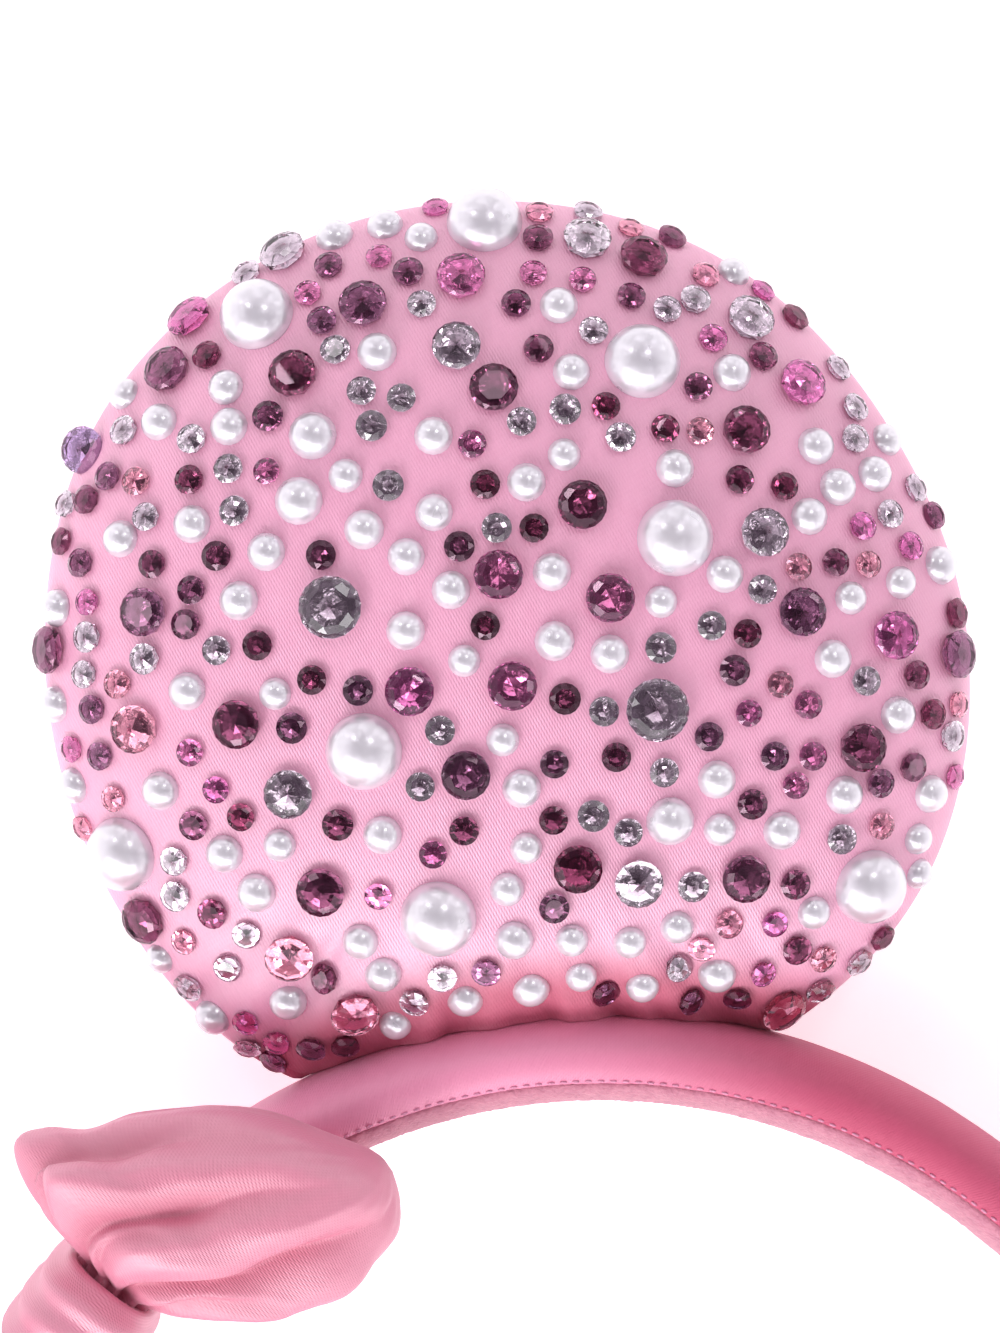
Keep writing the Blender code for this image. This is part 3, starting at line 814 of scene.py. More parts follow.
def lining_ring(heading):
    """The strip's section: its napped face, then its flat back."""
    halves = band_halves(heading)
    spread = [2 * i / (LINING_SIDES - 1) - 1 for i in range(LINING_SIDES)]
    points = []
    for share in spread:
        angle = math.pi + LINING_HALF_SPAN * share
        edge = math.sqrt(max(0.0, 1 - share**4))
        nap = NAP * uneven(heading * 900.0, share * 60.0, 0.0)
        points.append(section_point(halves, angle, LINING_SINK * (1 - edge) - LINING_PROUD * edge - nap))
    backs = [section_point(halves, math.pi + LINING_HALF_SPAN * share, LINING_DEPTH) for share in spread]
    return placed(points + backs[::-1], band_point(heading), outwards(heading))


def make_lining(settings):
    """The plush strip, swept between the band's tips."""
    length = SHOULDER_RADIUS * 2 * LEG_END
    steps = [i / LINING_ROWS for i in range(LINING_ROWS + 1)]
    rings = [lining_ring(LEG_END * (2 * step - 1)) for step in steps]
    bm = swept(rings, [length * step for step in steps], 2 * BAND_WIDTH)
    piece = finish_piece("band_plush", bm, "rose_plush", plush(settings))
    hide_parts("band_lining")


def make_stitches(settings):
    """A row of short stitches along each edge of the lining."""
    bm = bmesh.new()
    count = int(2 * sum(radius * (end - start) for radius, start, end in BAND_ARCS) / STITCH_PITCH)
    size = Matrix.Diagonal((*STITCH_SIZE, 1.0))
    for i in range(count):
        heading = heading_at(i / (count - 1))
        if abs(heading) * CROWN_RADIUS < STITCH_START or abs(heading) > STITCH_END:
            continue
        along = Vector((math.cos(heading), -math.sin(heading), 0.0))
        for edge in (-1, 1):
            angle = math.pi + edge * (LINING_HALF_SPAN + STITCH_OFFSET)
            out, front = section_point(band_halves(heading), angle, -STITCH_LIFT)
            normal = outwards(heading) * out / BAND_THICKNESS**2 + Z_AXIS * front / BAND_WIDTH**2
            centre = band_point(heading) + outwards(heading) * out + Z_AXIS * front
            place = Matrix.Translation(centre) @ axes(along, normal.normalized().cross(along), normal)
            bmesh.ops.create_icosphere(bm, subdivisions=1, radius=1.0, matrix=place @ size)
    finish_piece("lining_stitches", bm, "pink_satin", thread(settings))


def heading_at(share):
    """The band's heading at a share of its length, from its left tip to its right tip."""
    lengths = [radius * (end - start) for radius, start, end in BAND_ARCS]
    off = abs(2 * share - 1) * sum(lengths)
    heading = 0.0
    for (radius, start, end), length in zip(BAND_ARCS, lengths):
        heading += min(off, length) / radius
        off = max(0.0, off - length)
    return math.copysign(heading, share - 0.5)


# Ears


def outline_share(angle):
    """The outline's reach at an angle clockwise from the ear's top, as a share of EAR_RADIUS."""
    count = len(EAR_OUTLINE)
    place = angle / math.tau * count % count
    rows = [(EAR_OUTLINE[(int(place) + k) % count],) for k in (-1, 0, 1, 2)]
    return between(rows, 1 + place % 1)[0]


def gather(angle, share):
    """How far the gathers and tension lines at the sewn base draw the front face in."""
    off = angle % math.tau - math.pi
    if abs(off) > GATHER_FADE[1]:
        return 0.0
    wave = (1 - math.cos(GATHER_COUNT * math.pi * (off / GATHER_HALF_SPAN + 1))) / 2
    lines = uneven(off * TENSION_LINES, share * 3.0, 1.3)
    deep = GATHER_DEPTH * smooth(share, GATHER_START, GATHER_FULL) * wave**GATHER_SHARPNESS
    fine = TENSION_DEPTH * smooth(share, TENSION_START, GATHER_FULL) * (1 + lines)
    return (deep + fine) * (1 - smooth(abs(off), *GATHER_FADE))


def roll(angle, share):
    """How far the front face turns down, with fine puckers, towards the seam that sews it to the band."""
    if math.cos(angle) > BASE_COSINE:
        return 0.0
    reach = EAR_RADIUS * outline_share(angle) * share
    off = spoke_gap(angle, reach) - BAND_THICKNESS / 2
    wander = PUCKER_WANDER * uneven(angle % math.tau * 6.0, 4.1, 7.7)
    wave = (1 + math.cos(PUCKER_COUNT * angle + wander)) / 2
    pucker = PUCKER_DEPTH * clamp(1 - off / PUCKER_REACH, 0.0, 1.0) * wave**2
    return ROLL_DEPTH * clamp(1 - off / ROLL_REACH, 0.0, 1.0) ** 2 + pucker


def dome_height(angle, share):
    return EAR_FRONT * math.sqrt(max(0.0, 1 - share**2)) - gather(angle, share) - roll(angle, share)


def dome(across, up):
    """Height of the ear's front face over its middle plane."""
    share = math.hypot(across, up) / (EAR_RADIUS * outline_share(math.atan2(across, up)))
    return dome_height(math.atan2(across, up), min(share, RIM_SHARE))


def ear_matrix(side):
    """Places the ear's own axes: away from the bow, towards its top, and towards the front."""
    heading = side * EAR_HEADING
    centre = band_point(heading) + outwards(heading) * (BAND_THICKNESS / 2 + EAR_STAND)
    top = outwards(side * (EAR_HEADING + EAR_LEAN))
    return Matrix.Translation(centre) @ axes(top.cross(Z_AXIS) * side, top, Z_AXIS)


RIGHT_EAR = ear_matrix(1)
CROWN_CENTRE = Vector((0.0, BAND_TOP - CROWN_RADIUS, MID_HEIGHT))
SHOULDER_CENTRE = CROWN_CENTRE + outwards(CROWN_END) * (CROWN_RADIUS - SHOULDER_RADIUS)


def band_gap(across, up):
    """Distance outwards from the band's centre line, for a place on the right ear."""
    place = RIGHT_EAR @ Vector((across, up, 0.0))
    off = place - SHOULDER_CENTRE
    if math.atan2(off.x, off.y) < CROWN_END:
        return (place - CROWN_CENTRE).length - CROWN_RADIUS
    return off.length - SHOULDER_RADIUS


def spoke_gap(angle, reach):
    """The same distance, for a place out along a spoke of the ear."""
    return band_gap(math.sin(angle) * reach, math.cos(angle) * reach)


def band_face(height):
    """How far the band's outer side stands from its centre line at a height over its middle."""
    wide = abs(height) / (BAND_WIDTH / 2 + SEWN_CLEARANCE)
    if wide >= 1:
        return 0.0
    return (BAND_THICKNESS / 2 + SEWN_CLEARANCE) * (1 - wide**BAND_SQUARENESS) ** (1 / BAND_SQUARENESS)


def halved(low, high, halvings, is_past):
    """The place between low and high where is_past starts to hold, found by halving."""
    for _ in range(halvings):
        middle = (low + high) / 2
        if is_past(middle):
            high = middle
        else:
            low = middle
    return low


def reach_limit(angle, height, full):
    """The reach at which the ear meets the band at a height, or its full reach if it doesn't."""
    face = band_face(height)
    low = full * SEARCH_START
    for i in range(1, SEARCH_STEPS + 1):
        high = full * (SEARCH_START + (1 - SEARCH_START) * i / SEARCH_STEPS)
        if spoke_gap(angle, high) < face:
            return halved(low, high, SEARCH_HALVINGS, lambda reach: spoke_gap(angle, reach) < face)
        low = high
    return full


def seam_share(angle, height_at):
    """The share at which a face of the ear meets the band, or RIM_SHARE where it runs to the rim."""
    full = EAR_RADIUS * outline_share(angle)

    def meets_band(share):
        return reach_limit(angle, height_at(share), full) < full * share

    if not meets_band(RIM_SHARE):
        return RIM_SHARE
    return halved(SEARCH_START, RIM_SHARE, SEAM_HALVINGS, meets_band)


def back_height(share):
    """Height of the ear's back, which is flat where it rests."""
    flat = 1 - smooth(share, REST_SHARE, ROUND_SHARE)
    round_back = -EAR_BACK * math.sqrt(1 - share**2)
    return round_back + (-EAR_BACK - round_back) * flat


def ear_profile(angle):
    """Reach and height of each row of the cover at an angle, from the front's peak to the back's."""
    full = EAR_RADIUS * outline_share(angle)
    sewn = math.cos(angle) < BASE_COSINE
    front_share = seam_share(angle, lambda s: dome_height(angle, s)) if sewn else RIM_SHARE
    back_share = seam_share(angle, back_height) if sewn else RIM_SHARE
    rows = []
    for i in range(FRONT_ROWS + 1):
        share = front_share * math.sin(math.pi / 2 * i / FRONT_ROWS)
        rows.append((full * share, dome_height(angle, share)))
    top, bottom = rows[-1][1], back_height(back_share)
    for i in range(1, WALL_ROWS + 1):
        height = top + (bottom - top) * i / WALL_ROWS
        depth = EAR_FRONT if height > 0 else EAR_BACK
        seam = SEAM_DEPTH * (1 - smooth(abs(height - SEAM_HEIGHT), 0.0, SEAM_HALF_WIDTH))
        rows.append((full * math.sqrt(1 - (height / depth) ** 2) - seam, height))
    for i in range(BACK_ROWS - 1, -1, -1):
        share = back_share * math.sin(math.pi / 2 * i / BACK_ROWS)
        rows.append((full * share, back_height(share)))
    if not sewn:
        return rows
    return [(min(reach, reach_limit(angle, height, full)), height) for reach, height in rows]


def make_ear_cover(side, word, settings):
    """Shapes a globe into the padded ear: its poles are the peaks of the front and of the back."""
    bm = bmesh.new()
    rows = FRONT_ROWS + WALL_ROWS + BACK_ROWS
    bmesh.ops.create_uvsphere(bm, u_segments=EAR_TURNS, v_segments=rows, radius=1.0)
    cloth = bm.loops.layers.uv.new("cloth")
    deep = bm.verts.layers.float.new("deep")
    profiles = {}
    for vert in bm.verts:
        row = round(math.acos(clamp(vert.co.z, -1.0, 1.0)) / math.pi * rows)
        angle = math.atan2(vert.co.x, vert.co.y) if 0 < row < rows else 0.0
        turn = round(angle / math.tau * EAR_TURNS * 2)
        if turn not in profiles:
            profiles[turn] = ear_profile(angle % math.tau)
        reach, height = profiles[turn][row]
        vert.co = Vector((math.sin(angle) * reach, math.cos(angle) * reach, height))
        # Painted shade: the satin darkens towards the seam, where the gathered base lies in shade
        if vert.co.y < 0:
            off = band_gap(vert.co.x, vert.co.y) - BAND_THICKNESS / 2
            vert[deep] = 1 - smooth(off, PAINTED_SHADE_START, PAINTED_SHADE_REACH)
    for face in bm.faces:
        for loop in face.loops:
            loop[cloth].uv = loop.vert.co.xy
    bmesh.ops.transform(bm, matrix=ear_matrix(side), verts=bm.verts)
    bmesh.ops.recalc_face_normals(bm, faces=bm.faces)
    name = "ear_satin_" + word
    cover = satin(name, settings, settings.satin_colour, settings.satin_shade)
    piece = finish_piece(name, bm, "pink_satin", cover)
    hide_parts("ear_" + word)


# Stones


def seat(side, across, up, lift):
    """Seats a stone on the ear's front face, its own Z axis along the face's normal."""
    slope = Vector((
        dome(across - SLOPE_NUDGE, up) - dome(across + SLOPE_NUDGE, up),
        dome(across, up - SLOPE_NUDGE) - dome(across, up + SLOPE_NUDGE),
        2 * SLOPE_NUDGE,
    ))
    ear = ear_matrix(side)
    normal = (ear.to_3x3() @ slope).normalized()
    place = ear @ Vector((across, up, dome(across, up))) + normal * lift
    return Matrix.Translation(place) @ facing(normal)


def charted_stones():
    """The charted stones (finish, diameter, across, up), moved from where they are seen to where they are."""
    stones = []
    for (finish, size), places in CHART.items():
        for across, up in places:
            across, up = across * EAR_RADIUS, up * EAR_RADIUS
            nearer = 1 - dome(across, up) / CHART_DISTANCE
            stones.append((finish, size, across * nearer, up * nearer))
    return stones


def scattered_stones(settings, seed):
    """Fills the space between the charted stones with the smallest ones."""
    draw = random.Random(seed)
    stones = charted_stones()
    spots = [(Vector((across, up, dome(across, up))), size / 2) for _, size, across, up in stones]
    weights = [share for _, _, share in SCATTER]
    for _ in range(settings.scatter_tries):
        finish, size, _ = draw.choices(SCATTER, weights)[0]
        size *= draw.uniform(*SIZE_SPREAD)
        if draw.random() < SEAM_DRAWS:
            angle, share = draw.gauss(math.pi, GATHER_HALF_SPAN), draw.uniform(GATHER_START, STONE_REACH)
        else:
            angle, share = draw.uniform(0.0, math.tau), STONE_REACH * math.sqrt(draw.random())
        steepness = math.hypot(1.0, EAR_FRONT / EAR_RADIUS * share / math.sqrt(1 - share**2))
        if draw.uniform(0.0, STEEPEST) > steepness:
            continue
        reach = EAR_RADIUS * outline_share(angle) * share
        across, up = math.sin(angle) * reach, math.cos(angle) * reach
        if band_gap(across, up) < BAND_THICKNESS / 2 + size / 2 + SEAM_MARGIN:
            continue
        spot = Vector((across, up, dome(across, up)))
        gap = draw.uniform(settings.stone_gap, settings.stone_gap * 3) * (GAP_IN_MIDDLE - GAP_FALL * share**2)
        if all((spot - other).length > size / 2 + radius + gap for other, radius in spots):
            stones.append((finish, size, across, up))
            spots.append((spot, size / 2))
    return stones


def pearl_form(sides, rows):
    """A flat-backed half pearl, one across."""
    bm = bmesh.new()
    bmesh.ops.create_uvsphere(bm, u_segments=sides, v_segments=rows * 2, radius=0.5)
    bmesh.ops.scale(bm, vec=(1.0, 1.0, PEARL_RISE / 0.5), verts=bm.verts)
    geometry = bm.verts[:] + bm.edges[:] + bm.faces[:]
    cut = bmesh.ops.bisect_plane(
        bm, geom=geometry, dist=1e-6, plane_co=(0, 0, 0), plane_no=(0, 0, 1), clear_inner=True
    )
    edges = [part for part in cut["geom_cut"] if isinstance(part, bmesh.types.BMEdge)]
    foot = bmesh.ops.extrude_edge_only(bm, edges=edges)["geom"]
    low = [part for part in foot if isinstance(part, bmesh.types.BMVert)]
    bmesh.ops.translate(bm, vec=(0, 0, -FOOT_DEPTH), verts=low)
    bmesh.ops.contextual_create(bm, geom=open_edges(foot))
    bmesh.ops.recalc_face_normals(bm, faces=bm.faces)
    return bm


def crystal_form(shoulder):
    """A flat-backed cut stone, one across: a foiled base, rows of crown facets, and a table.

    A stone with a shoulder has one more row of facets, half a step round from the girdle's.
    """
    bm = bmesh.new()
    levels = [
        (TABLE_SIDES, BASE_REACH, 0.0, 0.0),
        (GIRDLE_SIDES, 0.50, GIRDLE_SHARE, 0.0),
        (TABLE_SIDES, TABLE_SHARE / 2, CRYSTAL_RISE, 0.0),
    ]
    if shoulder:
        levels.append((GIRDLE_SIDES, SHOULDER_SHARE / 2, SHOULDER_RISE, math.pi / GIRDLE_SIDES))
    for sides, radius, height, turn in levels:
        place = Matrix.Translation((0, 0, height)) @ Matrix.Rotation(turn, 4, "Z")
        bmesh.ops.create_circle(bm, segments=sides, radius=radius, matrix=place)
    bmesh.ops.convex_hull(bm, input=bm.verts)
    bmesh.ops.dissolve_limit(bm, angle_limit=FLAT_ANGLE, verts=bm.verts, edges=bm.edges)
    base = min(bm.faces, key=lambda face: face.calc_center_median().z)
    middle = bmesh.ops.poke(bm, faces=[base])["verts"]
    bmesh.ops.translate(bm, vec=(0, 0, BASE_RISE), verts=middle)
    bmesh.ops.recalc_face_normals(bm, faces=bm.faces)
    for face in bm.faces:
        face.material_index = int(face.normal.z < FOILED_SLOPE)
    return bm


def set_stones(name, slot, form, stones, side, lift, materials, settings, seed):
    """Joins one copy of the form for each stone into a single piece."""
    draw = random.Random(seed)
    pattern = bpy.data.meshes.new("pattern")
    form.to_mesh(pattern)
    form.free()
    bm = bmesh.new()
    tone = bm.verts.layers.float.new("tone")
    spread = bm.verts.layers.float.new("spread")
    reaches = [vert.co.xy.length / BASE_REACH for vert in pattern.vertices]
    for finish, size, across, up in stones:
        before = len(bm.verts)
        bm.from_mesh(pattern)
        bm.verts.ensure_lookup_table()
        verts = bm.verts[before:]
        spin = Matrix.Rotation(draw.uniform(0.0, math.tau), 4, "Z")
        lean = draw.gauss(0.0, settings.stone_tilt)
        tilt = Matrix.Rotation(lean, 4, "X")
        raised = lift + abs(lean) * size / 2 if lift > 0 else lift
        place = seat(side, across, up, raised) @ tilt @ spin @ Matrix.Scale(size, 4)
        bmesh.ops.transform(bm, matrix=place, verts=verts)
        shade = clamp(FINISHES[finish][1] + draw.uniform(-TONE_SPREAD, TONE_SPREAD), 0.0, 1.0)
        # spread is the share of the base's reach; the foil paints a dark reflection where it is small
        for vert, reach in zip(verts, reaches):
            vert[tone] = shade
            vert[spread] = min(1.0, reach)
    bpy.data.meshes.remove(pattern)
    return finish_piece(name, bm, slot, *materials, smooth_shade=slot == "pearl")


def glass_finishes():
    """The glass and the foil of each colour of crystal."""
    return {
        colour: (cut_glass(colour + "_glass", *glass), foil(colour + "_foil", *under))
        for colour, (glass, under) in CRYSTAL_COLOURS.items()
    }


def make_stones(side, word, settings):
    stones = scattered_stones(settings, settings.scatter_seed + (side < 0))
    material = nacre()
    pearls = [stone for stone in stones if stone[0] == "pearl"]
    for seed, (size, is_large) in enumerate(STONE_SIZES, 1):
        picked = [stone for stone in pearls if (stone[1] > LARGE_PEARL) == is_large]
        form = pearl_form(*PEARL_FACETS[size])
        name = f"pearls_{size}_{word}"
        piece = set_stones(name, "pearl", form, picked, side, -PEARL_SINK, [material], settings, seed)
        if is_large:
            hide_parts(*(f"pearl_{word}_{number:02d}" for number in PEARL_NODES))
    for seed, (colour, finishes) in enumerate(glass_finishes().items(), 3):
        chosen = [stone for stone in stones if FINISHES[stone[0]][0] == colour]
        slot = "crystal_" + colour
        for size, is_large in STONE_SIZES:
            picked = [stone for stone in chosen if (stone[1] > LARGE_CRYSTAL) == is_large]
            form = crystal_form(is_large)
            name = f"crystals_{colour}_{size}_{word}"
            piece = set_stones(name, slot, form, picked, side, STONE_LIFT, finishes, settings, seed)
            if is_large:
                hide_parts(*(f"crystal_{word}_{number:02d}" for number in CRYSTAL_NODES[colour]))


# Bow


def bow_crease(angle, along):
    """How deep the creases lie, as a share of the bow's section."""
    deepest = 0.0
    for start, turn, depth, half_width, reach in BOW_CREASES:
        middle = math.radians(start + turn * along + CREASE_WANDER * math.sin(1.1 * along + start))
        off = abs((angle - middle + math.pi) % math.tau - math.pi)
        width = math.radians(half_width) * (CREASE_START_WIDTH + CREASE_WIDENING * along)
        fade = 1 - smooth(along, reach * CREASE_FADE, reach)
        deepest = max(deepest, depth * fade * math.exp(-((off / width) ** CREASE_SHARPNESS)))
    return deepest


def bow_fold(angle, along):
    """The bow's section as a share of its full size, with its creases and its puffed cloth."""
    across, up = math.cos(angle), math.sin(angle)
    puff = uneven(across * 2.2, up * 2.2, along * 0.55)
    ripple = uneven(across * 6.0, up * 6.0, along * 0.8 + 9.0)
    return BOW_FULLNESS + BOW_PUFF * puff + BOW_RIPPLE * ripple - bow_crease(angle, along)


def bow_ring(side, along):
    """A section of a loop, at a place counted in rows of BOW_SECTIONS."""
    top_along, top_rise, bottom_along, bottom_rise, front, back = between(BOW_SECTIONS, along)
    top = Vector((BOW_HALF_LENGTH * top_along, BOW_RISE * top_rise))
    bottom = Vector((BOW_HALF_LENGTH * bottom_along, BOW_RISE * bottom_rise))
    middle, half = (top + bottom) / 2, (top - bottom) / 2
    level = WAIST_LEVEL + (BOW_LEVEL - WAIST_LEVEL) * smooth(along, 0.0, 1.0)
    points = []
    for i in range(BOW_TURNS):
        angle = math.tau * i / BOW_TURNS
        fold = bow_fold(angle * side, along)
        depth = BOW_FRONT_DEPTH * front if math.sin(angle) > 0 else BOW_BACK_DEPTH * back
        place = middle + half * fold * math.cos(angle)
        height = level + depth * fold * math.sin(angle)
        points.append(Vector((side * place.x, BAND_TOP + place.y, height)))
    return points


def make_bow_loops(settings):
    last = len(BOW_SECTIONS) - 1
    steps = [i / BOW_SUBSTEPS for i in range(last * BOW_SUBSTEPS + 1)]
    places = [(-1, step) for step in reversed(steps)] + [(1, step) for step in steps]
    rings = [bow_ring(*place) for place in places]
    for side in (-1, 1):
        tip = rings[-1 if side > 0 else 0]
        middle = sum(tip, Vector()) / len(tip)
        for share in BOW_END_SHARES:
            swell = X_AXIS * side * BOW_END_SWELL * (1 - share)
            ring = [middle + (point - middle) * share + swell for point in tip]
            rings.insert(len(rings) if side > 0 else 0, ring)
            places.insert(len(places) if side > 0 else 0, (side, last))
    along = run_lengths([ring[BOW_TURNS // 4] for ring in rings])
    bm = swept(rings, along, BOW_GIRTH)
    row, turn = bm.verts.layers.int["row"], bm.verts.layers.int["turn"]
    # Painted shade: the satin darkens in the creases, the more the deeper they lie
    deep = bm.verts.layers.float.new("deep")
    for vert in bm.verts:
        side, step = places[vert[row]]
        crease = bow_crease(math.tau * vert[turn] / BOW_TURNS * side, step)
        vert[deep] = min(CREASE_SHADE_LIMIT, CREASE_SHADE * crease)
    cover = satin("bow_satin", settings, settings.bow_colour, settings.bow_shade)
    piece = finish_piece("bow_satin_loops", bm, "bow_satin", cover)
    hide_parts("bow_loops")


def knot_point(angle, share):
    """A point of the knot's outer side: share runs across its width from -1 to 1."""
    shoulder = 1 - KNOT_SLOPE * abs(share) ** KNOT_SHOULDER
    folds = math.cos(KNOT_FOLDS * math.pi * share + KNOT_TWIST * math.sin(angle * 2)) * (1 - share**6)
    drawn = KNOT_FOLD_DEPTH * (folds - 1) / 2
    return KNOT_CENTRE + Vector((
        KNOT_HALVES.x * share,
        rounded(KNOT_HALVES.y * shoulder + drawn, math.cos(angle), KNOT_SQUARENESS),
        rounded(KNOT_HALVES.z * shoulder + drawn, math.sin(angle), KNOT_SQUARENESS),
    ))


def make_knot(settings):
    """A wrap of gathered satin, drawn once round the bow's waist and the band."""
    shares = [2 * i / (KNOT_ROWS - 1) - 1 for i in range(KNOT_ROWS)]
    angles = [math.tau * (i + 0.5) / KNOT_TURNS for i in range(KNOT_TURNS)]
    rings = [[knot_point(angle, share) for angle in angles] for share in shares]
    shrink = Vector((KNOT_LIP, 1 - KNOT_WALL / KNOT_HALVES.y, 1 - KNOT_WALL / KNOT_HALVES.z))
    lips = [[KNOT_CENTRE + (point - KNOT_CENTRE) * shrink for point in end] for end in (rings[0], rings[-1])]
    rings = [lips[0], *rings, lips[1]]
    along = run_lengths([ring[0] for ring in rings])
    bm = swept(rings, along, KNOT_GIRTH, closed_ends=False)
    bmesh.ops.bridge_loops(bm, edges=[edge for edge in bm.edges if edge.is_boundary])
    bmesh.ops.recalc_face_normals(bm, faces=bm.faces)
    cover = satin("knot_satin", settings, settings.bow_colour, settings.bow_shade)
    piece = finish_piece("bow_satin_knot", bm, "bow_satin", cover)
    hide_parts("bow_knot")


# Stage


def add_softbox(name, target, zenith, azimuth, size, power):
    """A soft light that faces its target, at an angle from the zenith and clockwise from the ear's top."""
    data = bpy.data.lights.new(name, "AREA")
    data.shape = "RECTANGLE"
    data.size, data.size_y = size
    data.energy = power
    light = add_object(name, data)
    away = RIGHT_EAR.to_3x3() @ Vector((
        math.sin(zenith) * math.sin(azimuth), math.sin(zenith) * math.cos(azimuth), math.cos(zenith)
    ))
    light.matrix_world = Matrix.Translation(target + away * LIGHT_DISTANCE) @ facing(away)


def make_world(settings):
    """Studio air: dim overhead, pale towards the horizon, with small lamps all round."""
    world = bpy.data.worlds.new("studio")
    world.use_nodes = True
    world.node_tree.nodes.clear()
    start = Wire(world.node_tree)
    place = start.node("ShaderNodeTexCoord")
    rise = start.node("ShaderNodeSeparateXYZ", {0: place}, output=2)
    shade = start.node("ShaderNodeValToRGB", {0: rise}, stops=AIR_SHADES)
    patches = mottle(place, 5.0, 2.0)
    cells = start.node("ShaderNodeTexVoronoi", {"Vector": place, "Scale": LAMP_DENSITY})
    lamps = start.maths("LESS_THAN", cells, LAMP_SIZE)
    strength = AIR_STRENGTH + PATCH_STRENGTH * patches**3 + LAMP_STRENGTH * lamps
    air = start.node("ShaderNodeBackground", {
        "Color": lamps.mix(shade, (1.0, 1.0, 1.0)),
        "Strength": strength * settings.air_strength,
    })
    start.node("ShaderNodeOutputWorld", {"Surface": air})
    bpy.context.scene.world = world


def make_floor(settings):
    bm = bmesh.new()
    bmesh.ops.create_circle(bm, cap_ends=True, segments=96, radius=FLOOR_RADIUS)
    mesh_object("studio_floor", bm, [pale_floor(settings)])


def make_camera():
    """Looks straight down on the right ear, with the ear's top at the top of the image."""
    data = bpy.data.cameras.new("camera")
    data.lens = LENS
    camera = add_object("camera", data)
    off_x = (IMAGE_SIZE[0] / 2 - EAR_PIXEL[0]) / PIXELS_PER_METRE
    off_y = (EAR_PIXEL[1] - IMAGE_SIZE[1] / 2) / PIXELS_PER_METRE
    camera.matrix_world = RIGHT_EAR @ Matrix.Translation((off_x, off_y, VIEW_DISTANCE))
    bpy.context.scene.camera = camera


# Settings, operators and panel


def tint(name, description, default):
    return FloatVectorProperty(name=name, description=description, subtype="COLOR", default=default)


def amount(name, description, default, **limits):
    return FloatProperty(name=name, description=description, default=default, **limits)


class HeadbandCloth(bpy.types.PropertyGroup):
    """Colours and weave of the satin and the plush"""

    satin_colour: tint("Satin", "Lit side of the pink satin", (0.84, 0.38, 0.56))
    satin_shade: tint("Satin shade", "Deep side of the pink satin", (0.78, 0.29, 0.47))
    # Painted shade: the colour that the ears' gathered base, the bow's creases and the band's legs turn to
    satin_painted_shade: tint("Satin depth", "Satin in the gathers and folds", (0.49, 0.05, 0.13))
    band_colour: tint("Band", "Lit side of the band's satin", (0.79, 0.28, 0.44))
    band_shade: tint("Band shade", "Deep side of the band's satin", (0.73, 0.22, 0.37))
    bow_colour: tint("Bow", "Lit side of the bow's satin", (0.68, 0.21, 0.32))
    bow_shade: tint("Bow shade", "Deep side of the bow's satin", (0.62, 0.15, 0.26))
    plush_colour: tint("Plush", "Tips of the lining's pile", (0.66, 0.27, 0.35))
    satin_roughness: amount("Satin roughness", "How dull the satin is", 0.50, min=0.0, max=1.0)
    weave_pitch: amount(
        "Weave pitch", "Distance between two ribs of the weave", 0.00036, unit="LENGTH", precision=5
    )
    weave_relief: amount("Weave relief", "Height of the weave's ribs", 0.000026, unit="LENGTH", precision=6)
    weave_slant: amount("Weave slant", "Slope of the twill against the warp", 0.55)
    thread_count: amount("Threads", "Threads of the warp for each rib of the twill", 1.35)


class HeadbandStones(bpy.types.PropertyGroup):
    """How the stones are laid on the ears"""

    stone_gap: amount("Gap", "Least gap between two stones", 0.00025, unit="LENGTH", precision=5)
    stone_tilt: amount("Tilt", "How unevenly the stones are glued on", math.radians(2.2), subtype="ANGLE")
    scatter_tries: IntProperty(
        name="Tries", description="Places tried for the smallest stones of an ear", min=0, default=30000
    )
    scatter_seed: IntProperty(name="Seed", description="Start of the scattered stones' places", default=7)


class HeadbandStudio(bpy.types.PropertyGroup):
    """Light and floor of the stage"""

    air_strength: amount("Air", "Strength of the light all round", 1.35, min=0.0)
    key_power: amount("Key light", "Power of the main soft light", 4.4, unit="POWER")
    glint_power: amount("Glints", "Power of each small light", 0.45, unit="POWER")
    floor_glow: amount("Glow", "Light that the floor gives off", 0.52, min=0.0)
    floor_shade: amount("Floor", "How pale the floor is", 0.92, min=0.0, max=1.0)


class HEADBAND_OT_band(bpy.types.Operator):
    """Make the band's satin cover, its plush lining and the lining's stitches"""

    bl_idname = "headband.band"
    bl_label = "Band and lining"

    def execute(self, context):
        cloth = context.scene.headband_cloth
        make_band_cover(cloth)
        make_lining(cloth)
        make_stitches(cloth)
        return {"FINISHED"}


class HEADBAND_OT_ears(bpy.types.Operator):
    """Make the padded satin cover of each ear"""

    bl_idname = "headband.ears"
    bl_label = "Ear covers"

    def execute(self, context):
        make_ear_cover(1, "right", context.scene.headband_cloth)
        make_ear_cover(-1, "left", context.scene.headband_cloth)
        return {"FINISHED"}


class HEADBAND_OT_stones(bpy.types.Operator):
    """Set the half pearls and the cut crystals on both ears"""

    bl_idname = "headband.stones"
    bl_label = "Pearls and crystals"

    def execute(self, context):
        make_stones(1, "right", context.scene.headband_stones)
        make_stones(-1, "left", context.scene.headband_stones)
        return {"FINISHED"}


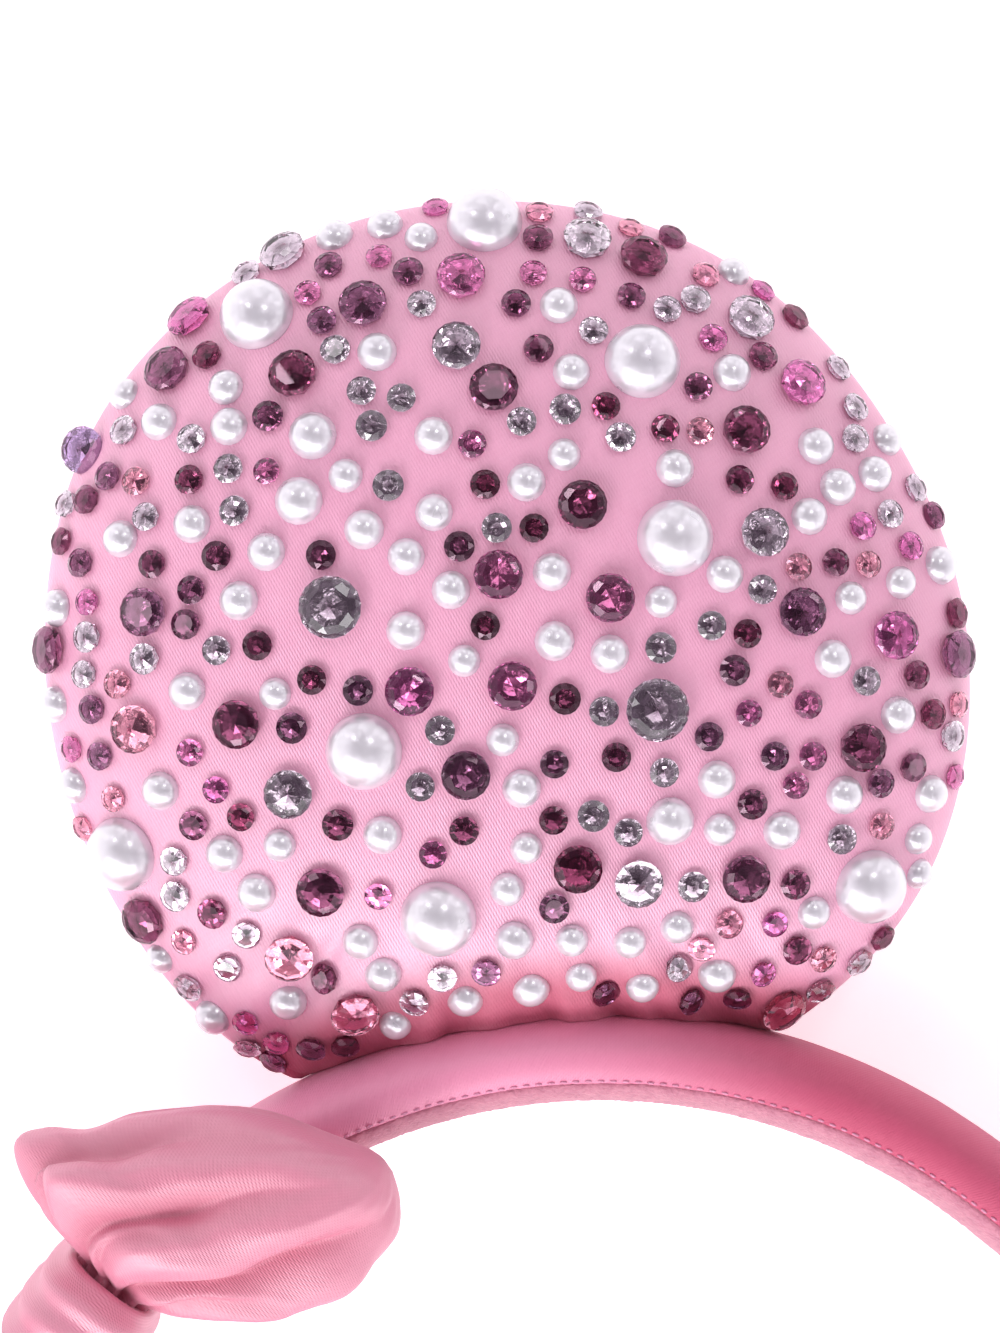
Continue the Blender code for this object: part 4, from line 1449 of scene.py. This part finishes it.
class HEADBAND_OT_bow(bpy.types.Operator):
    """Make the bow's padded loops and its knot"""

    bl_idname = "headband.bow"
    bl_label = "Bow"

    def execute(self, context):
        make_bow_loops(context.scene.headband_cloth)
        make_knot(context.scene.headband_cloth)
        return {"FINISHED"}


class HEADBAND_OT_stage(bpy.types.Operator):
    """Make the floor, the lights, the air and the camera"""

    bl_idname = "headband.stage"
    bl_label = "Stage"

    def execute(self, context):
        studio = context.scene.headband_studio
        make_floor(studio)
        make_world(studio)
        make_camera()
        ear = RIGHT_EAR.translation
        for name, setting, share, zenith, azimuth, size in SOFTBOXES:
            power = share * getattr(studio, setting)
            add_softbox(name, ear, math.radians(zenith), math.radians(azimuth), size, power)
        context.scene.view_settings.view_transform = "Standard"
        return {"FINISHED"}


class HEADBAND_PT_panel(bpy.types.Panel):
    """The headband's colours, stones, light and steps"""

    bl_label = "Headband"
    bl_idname = "HEADBAND_PT_panel"
    bl_space_type = "VIEW_3D"
    bl_region_type = "UI"
    bl_category = "Headband"

    def draw(self, context):
        for name in ("headband_cloth", "headband_stones", "headband_studio"):
            group = getattr(context.scene, name)
            column = self.layout.box().column()
            for key in group.__annotations__:
                column.prop(group, key)
        for operator in OPERATORS:
            self.layout.operator(operator.bl_idname)


GROUPS = {
    "headband_cloth": HeadbandCloth,
    "headband_stones": HeadbandStones,
    "headband_studio": HeadbandStudio,
}
OPERATORS = (HEADBAND_OT_stage, HEADBAND_OT_band, HEADBAND_OT_ears, HEADBAND_OT_stones, HEADBAND_OT_bow)
CLASSES = (*GROUPS.values(), *OPERATORS, HEADBAND_PT_panel)


def register():
    for cls in CLASSES:
        bpy.utils.register_class(cls)
    for name, group in GROUPS.items():
        setattr(bpy.types.Scene, name, PointerProperty(type=group))


def unregister():
    for name in GROUPS:
        delattr(bpy.types.Scene, name)
    for cls in reversed(CLASSES):
        bpy.utils.unregister_class(cls)


def main():
    register()
    bpy.ops.headband.stage()
    bpy.ops.headband.band()
    bpy.ops.headband.ears()
    bpy.ops.headband.stones()
    bpy.ops.headband.bow()


if __name__ == "__main__":
    main()
